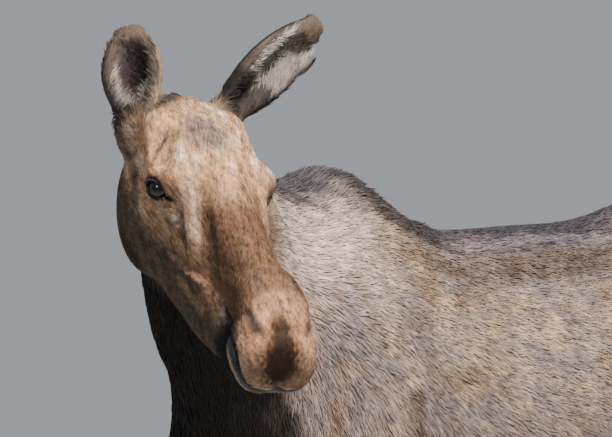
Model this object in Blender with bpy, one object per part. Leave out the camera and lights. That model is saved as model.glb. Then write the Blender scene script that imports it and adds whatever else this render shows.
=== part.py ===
"""Cow moose, life size, standing still with her head turned to her left.

The animal is shaped whole, as the surface where a distance field is zero. The field joins rounded forms:
lofts, whose cross-section follows stations along a line, and blobs, which are turned ellipsoids. The whole
body is then parted by thin cuts into its named pieces. The solids reach to the tips of the coat.

Body frame: -X to the front, -Y to her left, +Z up, the floor at z = 0 and x = 0 near the middle of the trunk.
The finished part is moved so that its origin is the middle of its footprint box, on the floor.
Head frame: origin at the poll, the axes running to the muzzle, to her left and up through the forehead.
"""

import math

import bmesh
import bpy
import numpy as np
from mathutils import Matrix

# ---------------------------------------------------------------- driving dimensions, in metres

HEAD_CELL = 0.0052          # size of the cells that the surface is found in, about the head
FOOT_CELL = 0.008           # about the hooves
BODY_CELL = 0.013           # and elsewhere
BLOCK = 5                   # cells along each side of a block that is looked at or passed over whole
GAP = 0.0003                # clearance between touching pieces
BODY_TRIANGLES = 5500       # the flesh after it is thinned

POLL = np.array((-1.038, -0.121, 1.960))
HEAD_YAW = 61.0             # degrees from straight ahead towards her left
HEAD_PITCH = 29.1           # degrees that the face dips below level
HEAD_ROLL = -1.4            # degrees that the head leans over
EYE_AT = (0.192, 0.097, -0.074)     # middle of her left eye in the head's frame
EYE_RADIUS = 0.0205

# where each foot stands
FOOT_X = {"fore_left": -0.575, "fore_right": -0.455, "hind_left": 0.615, "hind_right": 0.485}
FOOT_Y = {"fore_left": -0.135, "fore_right": 0.135, "hind_left": -0.130, "hind_right": 0.130}


# ---------------------------------------------------------------- field tools

def curve(t, stations, values):
    """Smooth curve through the values at the stations: a cubic in each span, level beyond the ends."""
    stations = np.asarray(stations, float)
    values = np.asarray(values, float)
    slopes = np.gradient(values, stations)
    t = np.clip(t, stations[0], stations[-1])
    i = np.clip(np.searchsorted(stations, t) - 1, 0, len(stations) - 2)
    span = stations[i + 1] - stations[i]
    s = (t - stations[i]) / span
    return ((2 * s**3 - 3 * s**2 + 1) * values[i] + (s**3 - 2 * s**2 + s) * span * slopes[i]
            + (3 * s**2 - 2 * s**3) * values[i + 1] + (s**3 - s**2) * span * slopes[i + 1])


def turned(yaw=0.0, pitch=0.0, roll=0.0):
    """Rows: the unit axes of a frame turned by yaw about Z, then pitch about its Y, then roll about its X."""
    cy, sy = math.cos(math.radians(yaw)), math.sin(math.radians(yaw))
    cp, sp = math.cos(math.radians(pitch)), math.sin(math.radians(pitch))
    cr, sr = math.cos(math.radians(roll)), math.sin(math.radians(roll))
    about_z = np.array(((cy, -sy, 0), (sy, cy, 0), (0, 0, 1)))
    about_y = np.array(((cp, 0, sp), (0, 1, 0), (-sp, 0, cp)))
    about_x = np.array(((1, 0, 0), (0, cr, -sr), (0, sr, cr)))
    return (about_z @ about_y @ about_x).T


def blob(points, centre, reach, axes=None, corner=2.0):
    """Distance to an ellipsoid: how far the scaled radius is past one, over the radius's own steepness."""
    local = points - np.asarray(centre)
    if axes is not None:
        local = local @ np.asarray(axes).T
    scaled = np.abs(local) / reach
    radius = np.maximum((scaled**corner).sum(1), 1e-12) ** (1 / corner)
    steep = np.sqrt((((scaled / radius[:, None]) ** (corner - 1) / reach) ** 2).sum(1))
    return (radius - 1) / steep


def loft(points, start, axes, rows, caps, corners=(2.0, 2.0)):
    """Distance to a form along the first axis. Each row holds a station, the section's middle on the two
    other axes, its half width, its reach up and its reach down; the caps are the depths of the round ends."""
    rows = np.asarray(rows, float)
    local = (points - np.asarray(start)) @ np.asarray(axes).T
    along = local[:, 0]
    side_mid, up_mid, width, up, down = (curve(along, rows[:, 0], rows[:, k]) for k in range(1, 6))
    before, after = rows[0, 0] - along, along - rows[-1, 0]
    cap = np.where(before > 0, caps[0], caps[1])
    past = np.maximum(np.maximum(before, after), 0) / cap
    over = local[:, 2] - up_mid
    tall = np.where(over > 0, up, down)
    power = np.where(over > 0, corners[0], corners[1])
    a = np.abs(local[:, 1] - side_mid) / width
    b = np.abs(over) / tall
    radius = np.maximum(a**power + b**power + past**power, 1e-12) ** (1 / power)
    steep = np.sqrt(((a / radius) ** (power - 1) / width) ** 2 + ((b / radius) ** (power - 1) / tall) ** 2
                    + ((past / radius) ** (power - 1) / cap) ** 2)
    return (radius - 1) / np.maximum(steep, 1e-6)


class Field:
    """Distance to a joined set of forms at some points, built up one form at a time."""

    def __init__(self, points, reach=0.06):
        self.points = points
        self.value = np.full(len(points), 0.5)
        self.reach = reach

    def near(self, low, high, blend):
        pad = self.reach + blend
        inside = np.all((self.points > np.asarray(low) - pad) & (self.points < np.asarray(high) + pad), axis=1)
        return np.nonzero(inside)[0]

    def join(self, form, low, high, blend):
        """Adds a form, rounding the corner between it and the rest over the blend."""
        at = self.near(low, high, blend)
        if len(at):
            mine, other = self.value[at], form(self.points[at])
            mix = np.maximum(blend - np.abs(mine - other), 0) / blend
            self.value[at] = np.minimum(mine, other) - mix**2 * blend / 4

    def cut(self, form, low, high, blend):
        """Takes a form away, rounding the edge that it leaves over the blend."""
        at = self.near(low, high, blend)
        if len(at):
            mine, other = self.value[at], -form(self.points[at])
            mix = np.maximum(blend - np.abs(mine - other), 0) / blend
            self.value[at] = np.maximum(mine, other) + mix**2 * blend / 4

    def add_blob(self, centre, reach, blend, axes=None, corner=2.0, cut=False):
        """Joins or cuts an ellipsoid given by its centre, its three half sizes and its axes."""
        centre, reach = np.asarray(centre, float), np.asarray(reach, float)
        size = reach if axes is None else np.abs(np.asarray(axes)).T @ reach
        act = self.cut if cut else self.join
        act(lambda p: blob(p, centre, reach, axes, corner), centre - size, centre + size, blend)

    def add_loft(self, start, axes, rows, caps, blend, corners=(2.0, 2.0)):
        """Joins a loft, looked at only inside a box around its stations."""
        start, axes, table = np.asarray(start, float), np.asarray(axes, float), np.asarray(rows, float)
        mids = start + table[:, :3] @ axes
        wide = np.sqrt(table[:, 3] ** 2 + np.maximum(table[:, 4], table[:, 5]) ** 2).max()
        ends = np.array((start + (table[0, 0] - caps[0]) * axes[0], start + (table[-1, 0] + caps[1]) * axes[0]))
        every = np.vstack((mids, ends))
        self.join(lambda p: loft(p, start, axes, table, caps, corners),
                  every.min(0) - wide, every.max(0) + wide, blend)


# ---------------------------------------------------------------- trunk

BODY_AXES = np.eye(3)

# station x, middle y, height of the widest line, half width, reach up, reach down
TRUNK = [
    (-0.76, 0, 1.28, 0.120, 0.27, 0.200),
    (-0.69, 0, 1.27, 0.172, 0.43, 0.290),
    (-0.62, 0, 1.26, 0.215, 0.505, 0.320),
    (-0.54, 0, 1.26, 0.236, 0.535, 0.342),
    (-0.46, 0, 1.25, 0.246, 0.545, 0.342),
    (-0.40, 0, 1.24, 0.252, 0.535, 0.336),
    (-0.32, 0, 1.23, 0.262, 0.500, 0.330),
    (-0.21, 0, 1.21, 0.280, 0.465, 0.318),
    (-0.08, 0, 1.19, 0.293, 0.457, 0.304),
    (0.06, 0, 1.18, 0.298, 0.466, 0.298),
    (0.20, 0, 1.19, 0.292, 0.462, 0.292),
    (0.34, 0, 1.23, 0.272, 0.440, 0.295),
    (0.45, 0, 1.28, 0.254, 0.408, 0.290),
    (0.555, 0, 1.31, 0.232, 0.365, 0.270),
    (0.655, 0, 1.33, 0.198, 0.295, 0.230),
    (0.725, 0, 1.34, 0.152, 0.220, 0.180),
]
TRUNK_CAPS = (0.09, 0.09)


def side_pair(field, centre, reach, blend, yaw=0.0, pitch=0.0, roll=0.0, corner=2.0, cut=False):
    """The same blob on her left and, mirrored, on her right."""
    for side in (-1, 1):
        axes = turned(yaw * side, pitch, roll * side)
        field.add_blob((centre[0], centre[1] * side, centre[2]), reach, blend, axes, corner, cut)


def add_trunk(field):
    """Barrel, withers hump, chest, shoulder blades, haunches and the hollow of the flank."""
    field.add_loft((0, 0, 0), BODY_AXES, TRUNK, TRUNK_CAPS, 0.05, (1.75, 2.25))
    side_pair(field, (-0.555, 0.155, 1.34), (0.115, 0.085, 0.34), 0.10, pitch=-22)
    side_pair(field, (-0.64, 0.120, 1.18), (0.12, 0.10, 0.15), 0.10)
    side_pair(field, (-0.47, 0.150, 1.10), (0.11, 0.095, 0.16), 0.09)
    field.add_blob((-0.75, 0, 1.14), (0.12, 0.12, 0.20), 0.10)
    side_pair(field, (0.56, 0.125, 1.28), (0.19, 0.115, 0.30), 0.10, pitch=12)
    side_pair(field, (0.46, 0.135, 1.09), (0.130, 0.095, 0.19), 0.08, pitch=-18)
    side_pair(field, (0.42, 0.145, 1.50), (0.14, 0.070, 0.075), 0.13, pitch=14)
    side_pair(field, (0.66, 0.085, 1.49), (0.11, 0.075, 0.09), 0.09, pitch=25)
    side_pair(field, (0.30, 0.305, 1.40), (0.10, 0.036, 0.13), 0.14, yaw=-12, cut=True)


def add_tail(field):
    """A short tail lying against the rump."""
    field.add_blob((0.808, 0, 1.425), (0.034, 0.034, 0.085), 0.02, turned(pitch=-14))


# ---------------------------------------------------------------- neck

NECK_START = np.array((-0.62, 0.0, 1.40))
NECK_END = np.array((-1.01, -0.085, 1.815))


def neck_axes():
    """Rows: along the neck to the head, to her right and up through the crest."""
    along = (NECK_END - NECK_START) / np.linalg.norm(NECK_END - NECK_START)
    side = np.cross(along, (0, 0, 1))
    side /= np.linalg.norm(side)
    return np.array((along, side, np.cross(side, along)))


# station, middle to her right, middle up, half width, reach to the crest, reach to the throat
NECK = [
    (0.00, 0, 0.00, 0.170, 0.300, 0.280),
    (0.09, 0, 0.02, 0.163, 0.305, 0.265),
    (0.18, 0.008, 0.03, 0.160, 0.275, 0.250),
    (0.26, 0.018, 0.03, 0.156, 0.225, 0.230),
    (0.34, 0.020, 0.02, 0.144, 0.185, 0.190),
    (0.43, 0.014, 0.01, 0.128, 0.150, 0.148),
    (0.52, 0.004, 0.005, 0.112, 0.125, 0.118),
    (0.59, -0.01, 0.00, 0.100, 0.105, 0.100),
]


def add_neck(field):
    field.add_loft(NECK_START, neck_axes(), NECK, (0.10, 0.06), 0.09, (1.9, 2.1))


# ---------------------------------------------------------------- head

def head_axes():
    """Rows: towards the muzzle, to her left and up through the forehead."""
    yaw, pitch, roll = (math.radians(v) for v in (HEAD_YAW, HEAD_PITCH, HEAD_ROLL))
    level = np.array((-math.cos(yaw), -math.sin(yaw), 0.0))
    left = np.cross((0, 0, 1), level)
    muzzle = level * math.cos(pitch) - np.array((0, 0, 1)) * math.sin(pitch)
    up = np.cross(muzzle, left)
    return np.array((muzzle, left * math.cos(roll) + up * math.sin(roll),
                     up * math.cos(roll) - left * math.sin(roll)))


HEAD_AXES = head_axes()

# station from the poll, middle left, height of the widest line, half width, reach up, reach down
FACE = [
    (-0.03, 0, -0.085, 0.080, 0.060, 0.075),
    (0.03, 0, -0.085, 0.083, 0.075, 0.090),
    (0.09, 0, -0.085, 0.086, 0.087, 0.100),
    (0.15, 0, -0.085, 0.089, 0.091, 0.105),
    (0.21, 0, -0.090, 0.079, 0.088, 0.105),
    (0.28, 0, -0.096, 0.066, 0.080, 0.095),
    (0.35, 0, -0.102, 0.057, 0.074, 0.080),
    (0.42, 0, -0.107, 0.050, 0.071, 0.070),
    (0.48, 0, -0.112, 0.048, 0.072, 0.068),
    (0.535, 0, -0.120, 0.053, 0.074, 0.074),
    (0.58, 0, -0.135, 0.064, 0.076, 0.072),
    (0.61, 0, -0.150, 0.064, 0.072, 0.066),
    (0.632, 0, -0.162, 0.058, 0.062, 0.056),
]
JAW = [
    (0.02, 0.000, -0.165, 0.068, 0.06, 0.088),
    (0.08, -0.001, -0.175, 0.082, 0.06, 0.118),
    (0.14, -0.003, -0.180, 0.084, 0.06, 0.128),
    (0.21, -0.007, -0.180, 0.078, 0.06, 0.132),
    (0.30, -0.014, -0.180, 0.066, 0.06, 0.118),
    (0.38, -0.018, -0.182, 0.060, 0.05, 0.105),
    (0.46, -0.020, -0.188, 0.053, 0.05, 0.078),
    (0.53, -0.020, -0.198, 0.046, 0.04, 0.046),
    (0.565, -0.020, -0.202, 0.042, 0.035, 0.038),
]


def on_head(point):
    """A place given in the head's frame, in the body frame."""
    return POLL + np.asarray(point, float) @ HEAD_AXES


def head_blob(field, centre, reach, blend, yaw=0.0, pitch=0.0, roll=0.0, corner=2.0, cut=False):
    """A blob placed and turned in the head's frame."""
    field.add_blob(on_head(centre), reach, blend, turned(yaw, pitch, roll) @ HEAD_AXES, corner, cut)


def head_pair(field, centre, reach, blend, yaw=0.0, pitch=0.0, roll=0.0, corner=2.0, cut=False):
    """The same blob on both sides of the head."""
    for side in (-1, 1):
        head_blob(field, (centre[0], centre[1] * side, centre[2]), reach, blend,
                  yaw * side, pitch, roll * side, corner, cut)


def add_head(field):
    """Skull, long nose, jaw, cheeks, brows, nostril swellings, the drooping upper lip and the chin."""
    field.add_loft(POLL, HEAD_AXES, FACE, (0.06, 0.036), 0.05, (2.4, 2.3))
    field.add_loft(POLL, HEAD_AXES, JAW, (0.05, 0.030), 0.025, (2.0, 2.2))
    head_pair(field, (0.100, 0.079, -0.190), (0.105, 0.042, 0.095), 0.05, pitch=24)
    head_pair(field, (0.162, 0.081, -0.047), (0.080, 0.035, 0.032), 0.040, yaw=5)
    head_pair(field, (0.190, 0.080, -0.078), (0.044, 0.030, 0.036), 0.03, yaw=-12)
    head_pair(field, (0.290, 0.058, -0.120), (0.100, 0.020, 0.022), 0.03, yaw=-12, pitch=6)
    head_pair(field, (0.550, 0.034, -0.092), (0.056, 0.026, 0.038), 0.03, yaw=8, pitch=22)
    head_pair(field, (0.598, 0.038, -0.176), (0.058, 0.043, 0.056), 0.035, pitch=25)
    head_blob(field, (0.050, 0, -0.030), (0.080, 0.060, 0.026), 0.04)
    head_pair(field, (-0.020, 0.088, -0.078), (0.045, 0.031, 0.050), 0.035)


# ---------------------------------------------------------------- ears

# her right ear stands up and opens forward; her left ear leans out and opens forward and down;
# fuller is the share by which the tip is wider than the stations say
EARS = {
    "right": {"root": (-0.020, -0.086, -0.060), "tip": (-0.215, -0.053, 0.016), "open": (0.60, -0.45, 0.50),
              "fuller": 0.12},
    "left": {"root": (-0.020, 0.090, -0.050), "tip": (-0.100, 0.268, 0.106), "open": (0.80, 0.02, 0.05),
             "fuller": -0.14},
}
# station along the ear as a share of its length, half width, thickness of the bowl
EAR_ROWS = [
    (-0.10, 0.032, 0.032), (0.05, 0.036, 0.034), (0.18, 0.043, 0.038), (0.35, 0.053, 0.040),
    (0.52, 0.057, 0.036), (0.68, 0.053, 0.030), (0.82, 0.042, 0.024), (0.93, 0.028, 0.018),
]


def ear_frame(side):
    """Where the ear starts, its length and the rows: along it, across it and out of its opening."""
    ear = EARS[side]
    root, tip = on_head(ear["root"]), on_head(ear["tip"])
    along = tip - root
    length = np.linalg.norm(along)
    along /= length
    out = np.asarray(ear["open"]) @ HEAD_AXES
    out -= along * (out @ along)
    out /= np.linalg.norm(out)
    return root, length, np.array((along, np.cross(out, along), out))


def add_ears(field):
    """Each ear is a leaf-shaped loft hollowed by a slimmer one, so that a rolled bowl is left."""
    for side, ear in EARS.items():
        root, length, axes = ear_frame(side)
        stations = [(s, w * (1 + ear["fuller"] * max(s, 0) ** 3), t) for s, w, t in EAR_ROWS]
        rows = [(s * length, 0, 0, w, max(t * 0.55, 0.016), t) for s, w, t in stations]
        field.add_loft(root, axes, rows, (0.02, 0.02), 0.022, (2.3, 2.3))
        inner = np.array([(s * length, 0, t * 0.75, w * 0.70, t * 1.2, t * 1.05)
                          for s, w, t in stations if 0.1 < s < 0.75])
        middle = root + axes[0] * length * 0.5
        field.cut(lambda p: loft(p, root, axes, inner, (0.02, 0.030)),
                  middle - length * 0.75, middle + length * 0.75, 0.012)


# ---------------------------------------------------------------- legs

DOWN_AXES = np.array(((0, 0, -1), (0, 1, 0), (-1, 0, 0)))

# height, x from the foot, y from the foot (outwards), half width, reach forward, reach back
FORELEG = [
    (1.16, 0.055, 0.030, 0.075, 0.110, 0.105),
    (1.04, 0.060, 0.030, 0.072, 0.100, 0.105),
    (0.94, 0.062, 0.022, 0.064, 0.086, 0.088),
    (0.84, 0.060, 0.014, 0.055, 0.068, 0.070),
    (0.72, 0.056, 0.006, 0.046, 0.054, 0.052),
    (0.61, 0.052, 0.000, 0.044, 0.047, 0.045),
    (0.545, 0.050, 0.000, 0.049, 0.052, 0.045),
    (0.49, 0.050, 0.000, 0.047, 0.048, 0.047),
    (0.42, 0.048, 0.000, 0.036, 0.034, 0.041),
    (0.32, 0.044, 0.000, 0.032, 0.030, 0.037),
    (0.23, 0.040, 0.000, 0.034, 0.032, 0.040),
    (0.175, 0.034, 0.000, 0.040, 0.038, 0.046),
    (0.125, 0.020, 0.000, 0.040, 0.040, 0.042),
    (0.085, 0.004, 0.000, 0.046, 0.052, 0.048),
]
HINDLEG = [
    (1.20, -0.070, 0.020, 0.080, 0.150, 0.150),
    (1.08, -0.110, 0.022, 0.078, 0.125, 0.150),
    (0.98, -0.105, 0.018, 0.068, 0.105, 0.130),
    (0.88, -0.060, 0.012, 0.056, 0.085, 0.100),
    (0.79, -0.008, 0.006, 0.047, 0.066, 0.074),
    (0.71, 0.032, 0.002, 0.042, 0.058, 0.064),
    (0.645, 0.048, 0.000, 0.043, 0.060, 0.064),
    (0.58, 0.050, 0.000, 0.043, 0.054, 0.054),
    (0.50, 0.044, 0.000, 0.036, 0.039, 0.041),
    (0.40, 0.038, 0.000, 0.032, 0.032, 0.037),
    (0.28, 0.032, 0.000, 0.032, 0.032, 0.037),
    (0.20, 0.028, 0.000, 0.036, 0.035, 0.044),
    (0.145, 0.020, 0.000, 0.039, 0.039, 0.042),
    (0.085, 0.004, 0.000, 0.045, 0.052, 0.048),
]
HOOF = [
    (0.105, 0.010, 0.000, 0.036, 0.040, 0.036),
    (0.070, 0.002, 0.000, 0.049, 0.062, 0.052),
    (0.030, -0.006, 0.000, 0.055, 0.082, 0.056),
    (-0.020, -0.012, 0.000, 0.058, 0.096, 0.058),
]


def leg_rows(rows, leg):
    """The leg's stations run down from its top, at its foot's place."""
    out = 1 if leg.endswith("right") else -1
    x, y = FOOT_X[leg], FOOT_Y[leg]
    return [(-z, y + out * dy, -(x + dx), w, f, b) for z, dx, dy, w, f, b in rows]


def add_legs(field):
    """Four legs with hooves that run a little below the floor, where they are cut flat, and dewclaws."""
    for leg, x in FOOT_X.items():
        rows = FORELEG if leg.startswith("fore") else HINDLEG
        field.add_loft((0, 0, 0), DOWN_AXES, leg_rows(rows, leg), (0.08, 0.02), 0.05, (2.1, 2.1))
        field.add_loft((0, 0, 0), DOWN_AXES, leg_rows(HOOF, leg), (0.012, 0.01), 0.012, (1.9, 2.2))
        for side in (-1, 1):
            field.add_blob((x + 0.058, FOOT_Y[leg] + side * 0.024, 0.130), (0.020, 0.016, 0.030), 0.020,
                           turned(pitch=-25))
        if leg.startswith("hind"):
            field.add_blob((x + 0.098, FOOT_Y[leg], 0.700), (0.022, 0.024, 0.055), 0.03, turned(pitch=-8))


def moose(points):
    """Distance from each point to the outside of the whole animal."""
    field = Field(points)
    add_trunk(field)
    add_neck(field)
    add_tail(field)
    add_legs(field)
    add_head(field)
    add_ears(field)
    return field.value


# ---------------------------------------------------------------- surface of a field

def ticks(low, high, coarse, stretches):
    """Marks along an axis: as close as each stretch (start, end, spacing) asks, and growing apart beyond it."""
    marks = [low]
    while marks[-1] < high:
        steps = [fine + 0.12 * max(start - marks[-1], marks[-1] - end, 0) for start, end, fine in stretches]
        marks.append(marks[-1] + min(coarse, *steps))
    extra = -(len(marks) - 1) % BLOCK
    return np.array(marks + [marks[-1] + coarse * (k + 1) for k in range(extra)])


def surface(distance, marks):
    """The zero surface: each cell that it passes through gets a point, and neighbours are joined by quads.

    Blocks of cells that lie far from the surface are passed over. A cell's point is the mean of the places
    where the surface crosses its edges, and a quad is laid round each crossed edge.
    """
    counts = [(len(m) - 1) // BLOCK for m in marks]
    grid = np.stack(np.meshgrid(*(np.arange(n) for n in counts), indexing="ij"), -1).reshape(-1, 3)
    first = np.stack([marks[k][grid[:, k] * BLOCK] for k in range(3)], 1)
    last = np.stack([marks[k][(grid[:, k] + 1) * BLOCK] for k in range(3)], 1)
    near = np.abs(distance((first + last) / 2)) < np.linalg.norm(last - first, axis=1)
    grid = grid[near]
    steps = np.stack(np.meshgrid(*(np.arange(BLOCK + 1),) * 3, indexing="ij"), -1).reshape(-1, 3)
    strides = np.array((len(marks[1]) * len(marks[2]), len(marks[2]), 1), np.int64)
    key = np.unique((grid[:, None] * BLOCK + steps[None]).reshape(-1, 3) @ strides)
    place = np.stack((key // strides[0], key // strides[1] % len(marks[1]), key % strides[1]), 1)
    at = np.stack([marks[k][place[:, k]] for k in range(3)], 1)
    value = distance(at)
    value[value == 0] = 1e-9
    quads, points = [], []
    for axis in range(3):
        found = np.minimum(np.searchsorted(key, key + strides[axis]), len(key) - 1)
        crossed = (key[found] == key + strides[axis]) & (value * value[found] < 0)
        a, b = np.nonzero(crossed)[0], found[crossed]
        share = (value[a] / (value[a] - value[b]))[:, None]
        u, v = strides[(axis + 1) % 3], strides[(axis + 2) % 3]
        around = np.stack((key[a], key[a] - u, key[a] - u - v, key[a] - v), 1)
        around[value[a] > 0] = around[value[a] > 0][:, ::-1]
        quads.append(around)
        points.append(np.repeat(at[a] * (1 - share) + at[b] * share, 4, 0))
    cells, index = np.unique(np.concatenate(quads).ravel(), return_inverse=True)
    points = np.concatenate(points)
    total = np.bincount(index)
    verts = np.stack([np.bincount(index, points[:, k]) / total for k in range(3)], 1)
    return verts, index.reshape(-1, 4)


def mesh_from(name, verts, faces):
    mesh = bpy.data.meshes.new(name)
    mesh.from_pydata(verts.tolist(), [], faces.tolist())
    mesh.update()
    return mesh


# ---------------------------------------------------------------- blender objects

def apply_modifiers(obj):
    """Replaces the object's mesh by the one that its modifiers give."""
    depsgraph = bpy.context.evaluated_depsgraph_get()
    mesh = bpy.data.meshes.new_from_object(obj.evaluated_get(depsgraph))
    obj.modifiers.clear()
    obj.data = mesh


def add_object(name, mesh):
    obj = bpy.data.objects.new(name, mesh)
    bpy.context.scene.collection.objects.link(obj)
    return obj


def add_cutter(name, size, centre, axes):
    """A box of the given size, its sides along the rows of the axes."""
    bm = bmesh.new()
    bmesh.ops.create_cube(bm, size=1)
    for v in bm.verts:
        v.co = np.asarray(centre) + (np.array(v.co) * size) @ axes
    if np.linalg.det(axes) < 0:
        bmesh.ops.reverse_faces(bm, faces=bm.faces)
    mesh = bpy.data.meshes.new(name)
    bm.to_mesh(mesh)
    bm.free()
    return add_object(name, mesh)


def add_ball(name, centre, radius):
    """A closed sphere."""
    bm = bmesh.new()
    bmesh.ops.create_uvsphere(bm, u_segments=16, v_segments=10, radius=radius)
    bmesh.ops.translate(bm, verts=bm.verts, vec=centre)
    mesh = bpy.data.meshes.new(name)
    bm.to_mesh(mesh)
    bm.free()
    return add_object(name, mesh)


def corners(obj):
    """Lowest and highest corners of the object's mesh."""
    spots = np.empty(len(obj.data.vertices) * 3)
    obj.data.vertices.foreach_get("co", spots)
    spots = spots.reshape(-1, 3)
    return spots.min(0), spots.max(0)


def meets(obj, other):
    low, high = corners(obj)
    other_low, other_high = corners(other)
    return bool(np.all(low < other_high) and np.all(high > other_low))


def loose_parts(obj):
    """Splits the object into one object for each closed body that it holds."""
    whole = bmesh.new()
    whole.from_mesh(obj.data)
    group = {}
    count = 0
    for seed in whole.verts:
        if seed.index in group:
            continue
        group[seed.index] = count
        waiting = [seed]
        while waiting:
            for edge in waiting.pop().link_edges:
                for v in edge.verts:
                    if v.index not in group:
                        group[v.index] = count
                        waiting.append(v)
        count += 1
    parts = []
    for k in range(count):
        copy = whole.copy()
        bmesh.ops.delete(copy, geom=[v for v in copy.verts if group[v.index] != k], context="VERTS")
        mesh = bpy.data.meshes.new("part")
        copy.to_mesh(mesh)
        copy.free()
        parts.append(add_object("part", mesh))
    whole.free()
    bpy.data.objects.remove(obj)
    return parts


def split(pieces, cutter):
    """Takes the cutter away from each piece that it meets, and parts what it leaves."""
    result = []
    for piece in pieces:
        if not meets(piece, cutter):
            result.append(piece)
            continue
        modifier = piece.modifiers.new(cutter.name, "BOOLEAN")
        modifier.operation = "DIFFERENCE"
        modifier.solver = "EXACT"
        modifier.object = cutter
        apply_modifiers(piece)
        result += loose_parts(piece)
    bpy.data.objects.remove(cutter)
    return result


# ---------------------------------------------------------------- looks of the pieces

LOOKS = {
    "coat_dark": ((0.060, 0.040, 0.030), 0.85),
    "coat_flank": ((0.170, 0.125, 0.095), 0.85),
    "coat_face": ((0.230, 0.150, 0.105), 0.80),
    "coat_leg": ((0.220, 0.190, 0.160), 0.85),
    "eye": ((0.012, 0.009, 0.008), 0.08),
    "hoof": ((0.050, 0.044, 0.040), 0.45),
}
PIECE_LOOK = {"head": "coat_face", "neck": "coat_dark", "trunk": "coat_flank", "tail": "coat_dark",
              "ear": "coat_face", "foreleg": "coat_leg", "hindleg": "coat_leg", "eye": "eye", "hoof": "hoof"}


def paint(obj):
    """Gives the piece a material of its own in the look of its kind."""
    colour, roughness = LOOKS[PIECE_LOOK[obj.name.split("_")[0]]]
    material = bpy.data.materials.new(obj.name)
    material.use_nodes = True
    shader = material.node_tree.nodes["Principled BSDF"]
    shader.inputs["Base Color"].default_value = (*colour, 1)
    shader.inputs["Roughness"].default_value = roughness
    obj.data.materials.clear()
    obj.data.materials.append(material)


# ---------------------------------------------------------------- parting the body

NECK_BACK_CUT = ((-0.66, 0, 1.79), (-0.86, 0, 1.30))    # crest and chest ends of the cut before the shoulder
NECK_FRONT_CUT = 0.40                                   # distance of the throat cut along the neck
EAR_CUT = {"left": 0.24, "right": 0.42}                 # share of the ear that stays on the head
TAIL_CUT_X = 0.822
LEG_CUT_Z = {"fore": 0.88, "hind": 0.885}
LEG_CUT_X = {"fore": (-0.75, -0.25), "hind": (0.30, 0.80)}
CORONET_Z = 0.088
CLEFT_WIDTH = 0.004
SLAB = 0.0004


def part_cutters():
    """Thin slabs where the neck, head, ears, tail, legs and hooves are parted, one after the other."""
    top, front = (np.array(p, float) for p in NECK_BACK_CUT)
    slope = (front - top) / np.linalg.norm(front - top)
    across = np.array((0, 1, 0))
    yield "neck_cut", (SLAB, 0.9, 1.6), (top + front) / 2, np.array((np.cross(across, slope), across, slope))
    axes = neck_axes()
    yield "head_cut", (SLAB, 0.45, 0.60), NECK_START + axes[0] * NECK_FRONT_CUT, axes
    for side in EARS:
        root, length, ear_axes = ear_frame(side)
        yield side + "_ear_cut", (SLAB, 0.16, 0.16), root + ear_axes[0] * length * EAR_CUT[side], ear_axes
    yield "tail_cut", (SLAB, 0.14, 0.26), (TAIL_CUT_X, 0, 1.42), BODY_AXES
    for leg, x in FOOT_X.items():
        kind, y = leg[:4], FOOT_Y[leg]
        start, end = LEG_CUT_X[kind]
        sign = math.copysign(1, y)
        yield leg + "_cut", (end - start, 0.30, SLAB), ((start + end) / 2, sign * 0.15, LEG_CUT_Z[kind]), BODY_AXES
        yield leg + "_coronet", (0.30, 0.16, SLAB), (x, y, CORONET_Z), BODY_AXES
        yield leg + "_cleft", (0.40, CLEFT_WIDTH, 0.14), (x, y, CORONET_Z - 0.07 + SLAB), BODY_AXES


def piece_places():
    """A place near the middle of each piece of flesh or hoof, to name the parted bodies by."""
    places = {"trunk": (-0.05, 0, 1.25), "tail": (0.83, 0, 1.42), "head": on_head((0.25, 0, -0.13)),
              "neck": NECK_START + neck_axes()[0] * 0.22}
    for side in EARS:
        root, length, axes = ear_frame(side)
        places["ear_" + side] = root + axes[0] * length * 0.6
    for leg, x in FOOT_X.items():
        kind, side = leg.split("_")
        places[f"{kind}leg_{side}"] = (x, FOOT_Y[leg], 0.45)
        for name, sign in (("outer", 1), ("inner", -1)):
            out = sign * math.copysign(0.025, FOOT_Y[leg])
            places[f"hoof_{leg}_{name}"] = (x - 0.01, FOOT_Y[leg] + out, 0.04)
    return places


def settle(piece, name, stand):
    """Names a finished piece, puts its origin in its own middle and stands it under the empty."""
    low, high = corners(piece)
    middle = (low + high) / 2
    piece.data.transform(Matrix.Translation(-middle))
    piece.name = piece.data.name = name
    piece.location = middle
    piece.parent = stand
    paint(piece)
    piece.data.shade_smooth()
    piece.data.set_sharp_from_angle(angle=math.radians(40))


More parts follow.
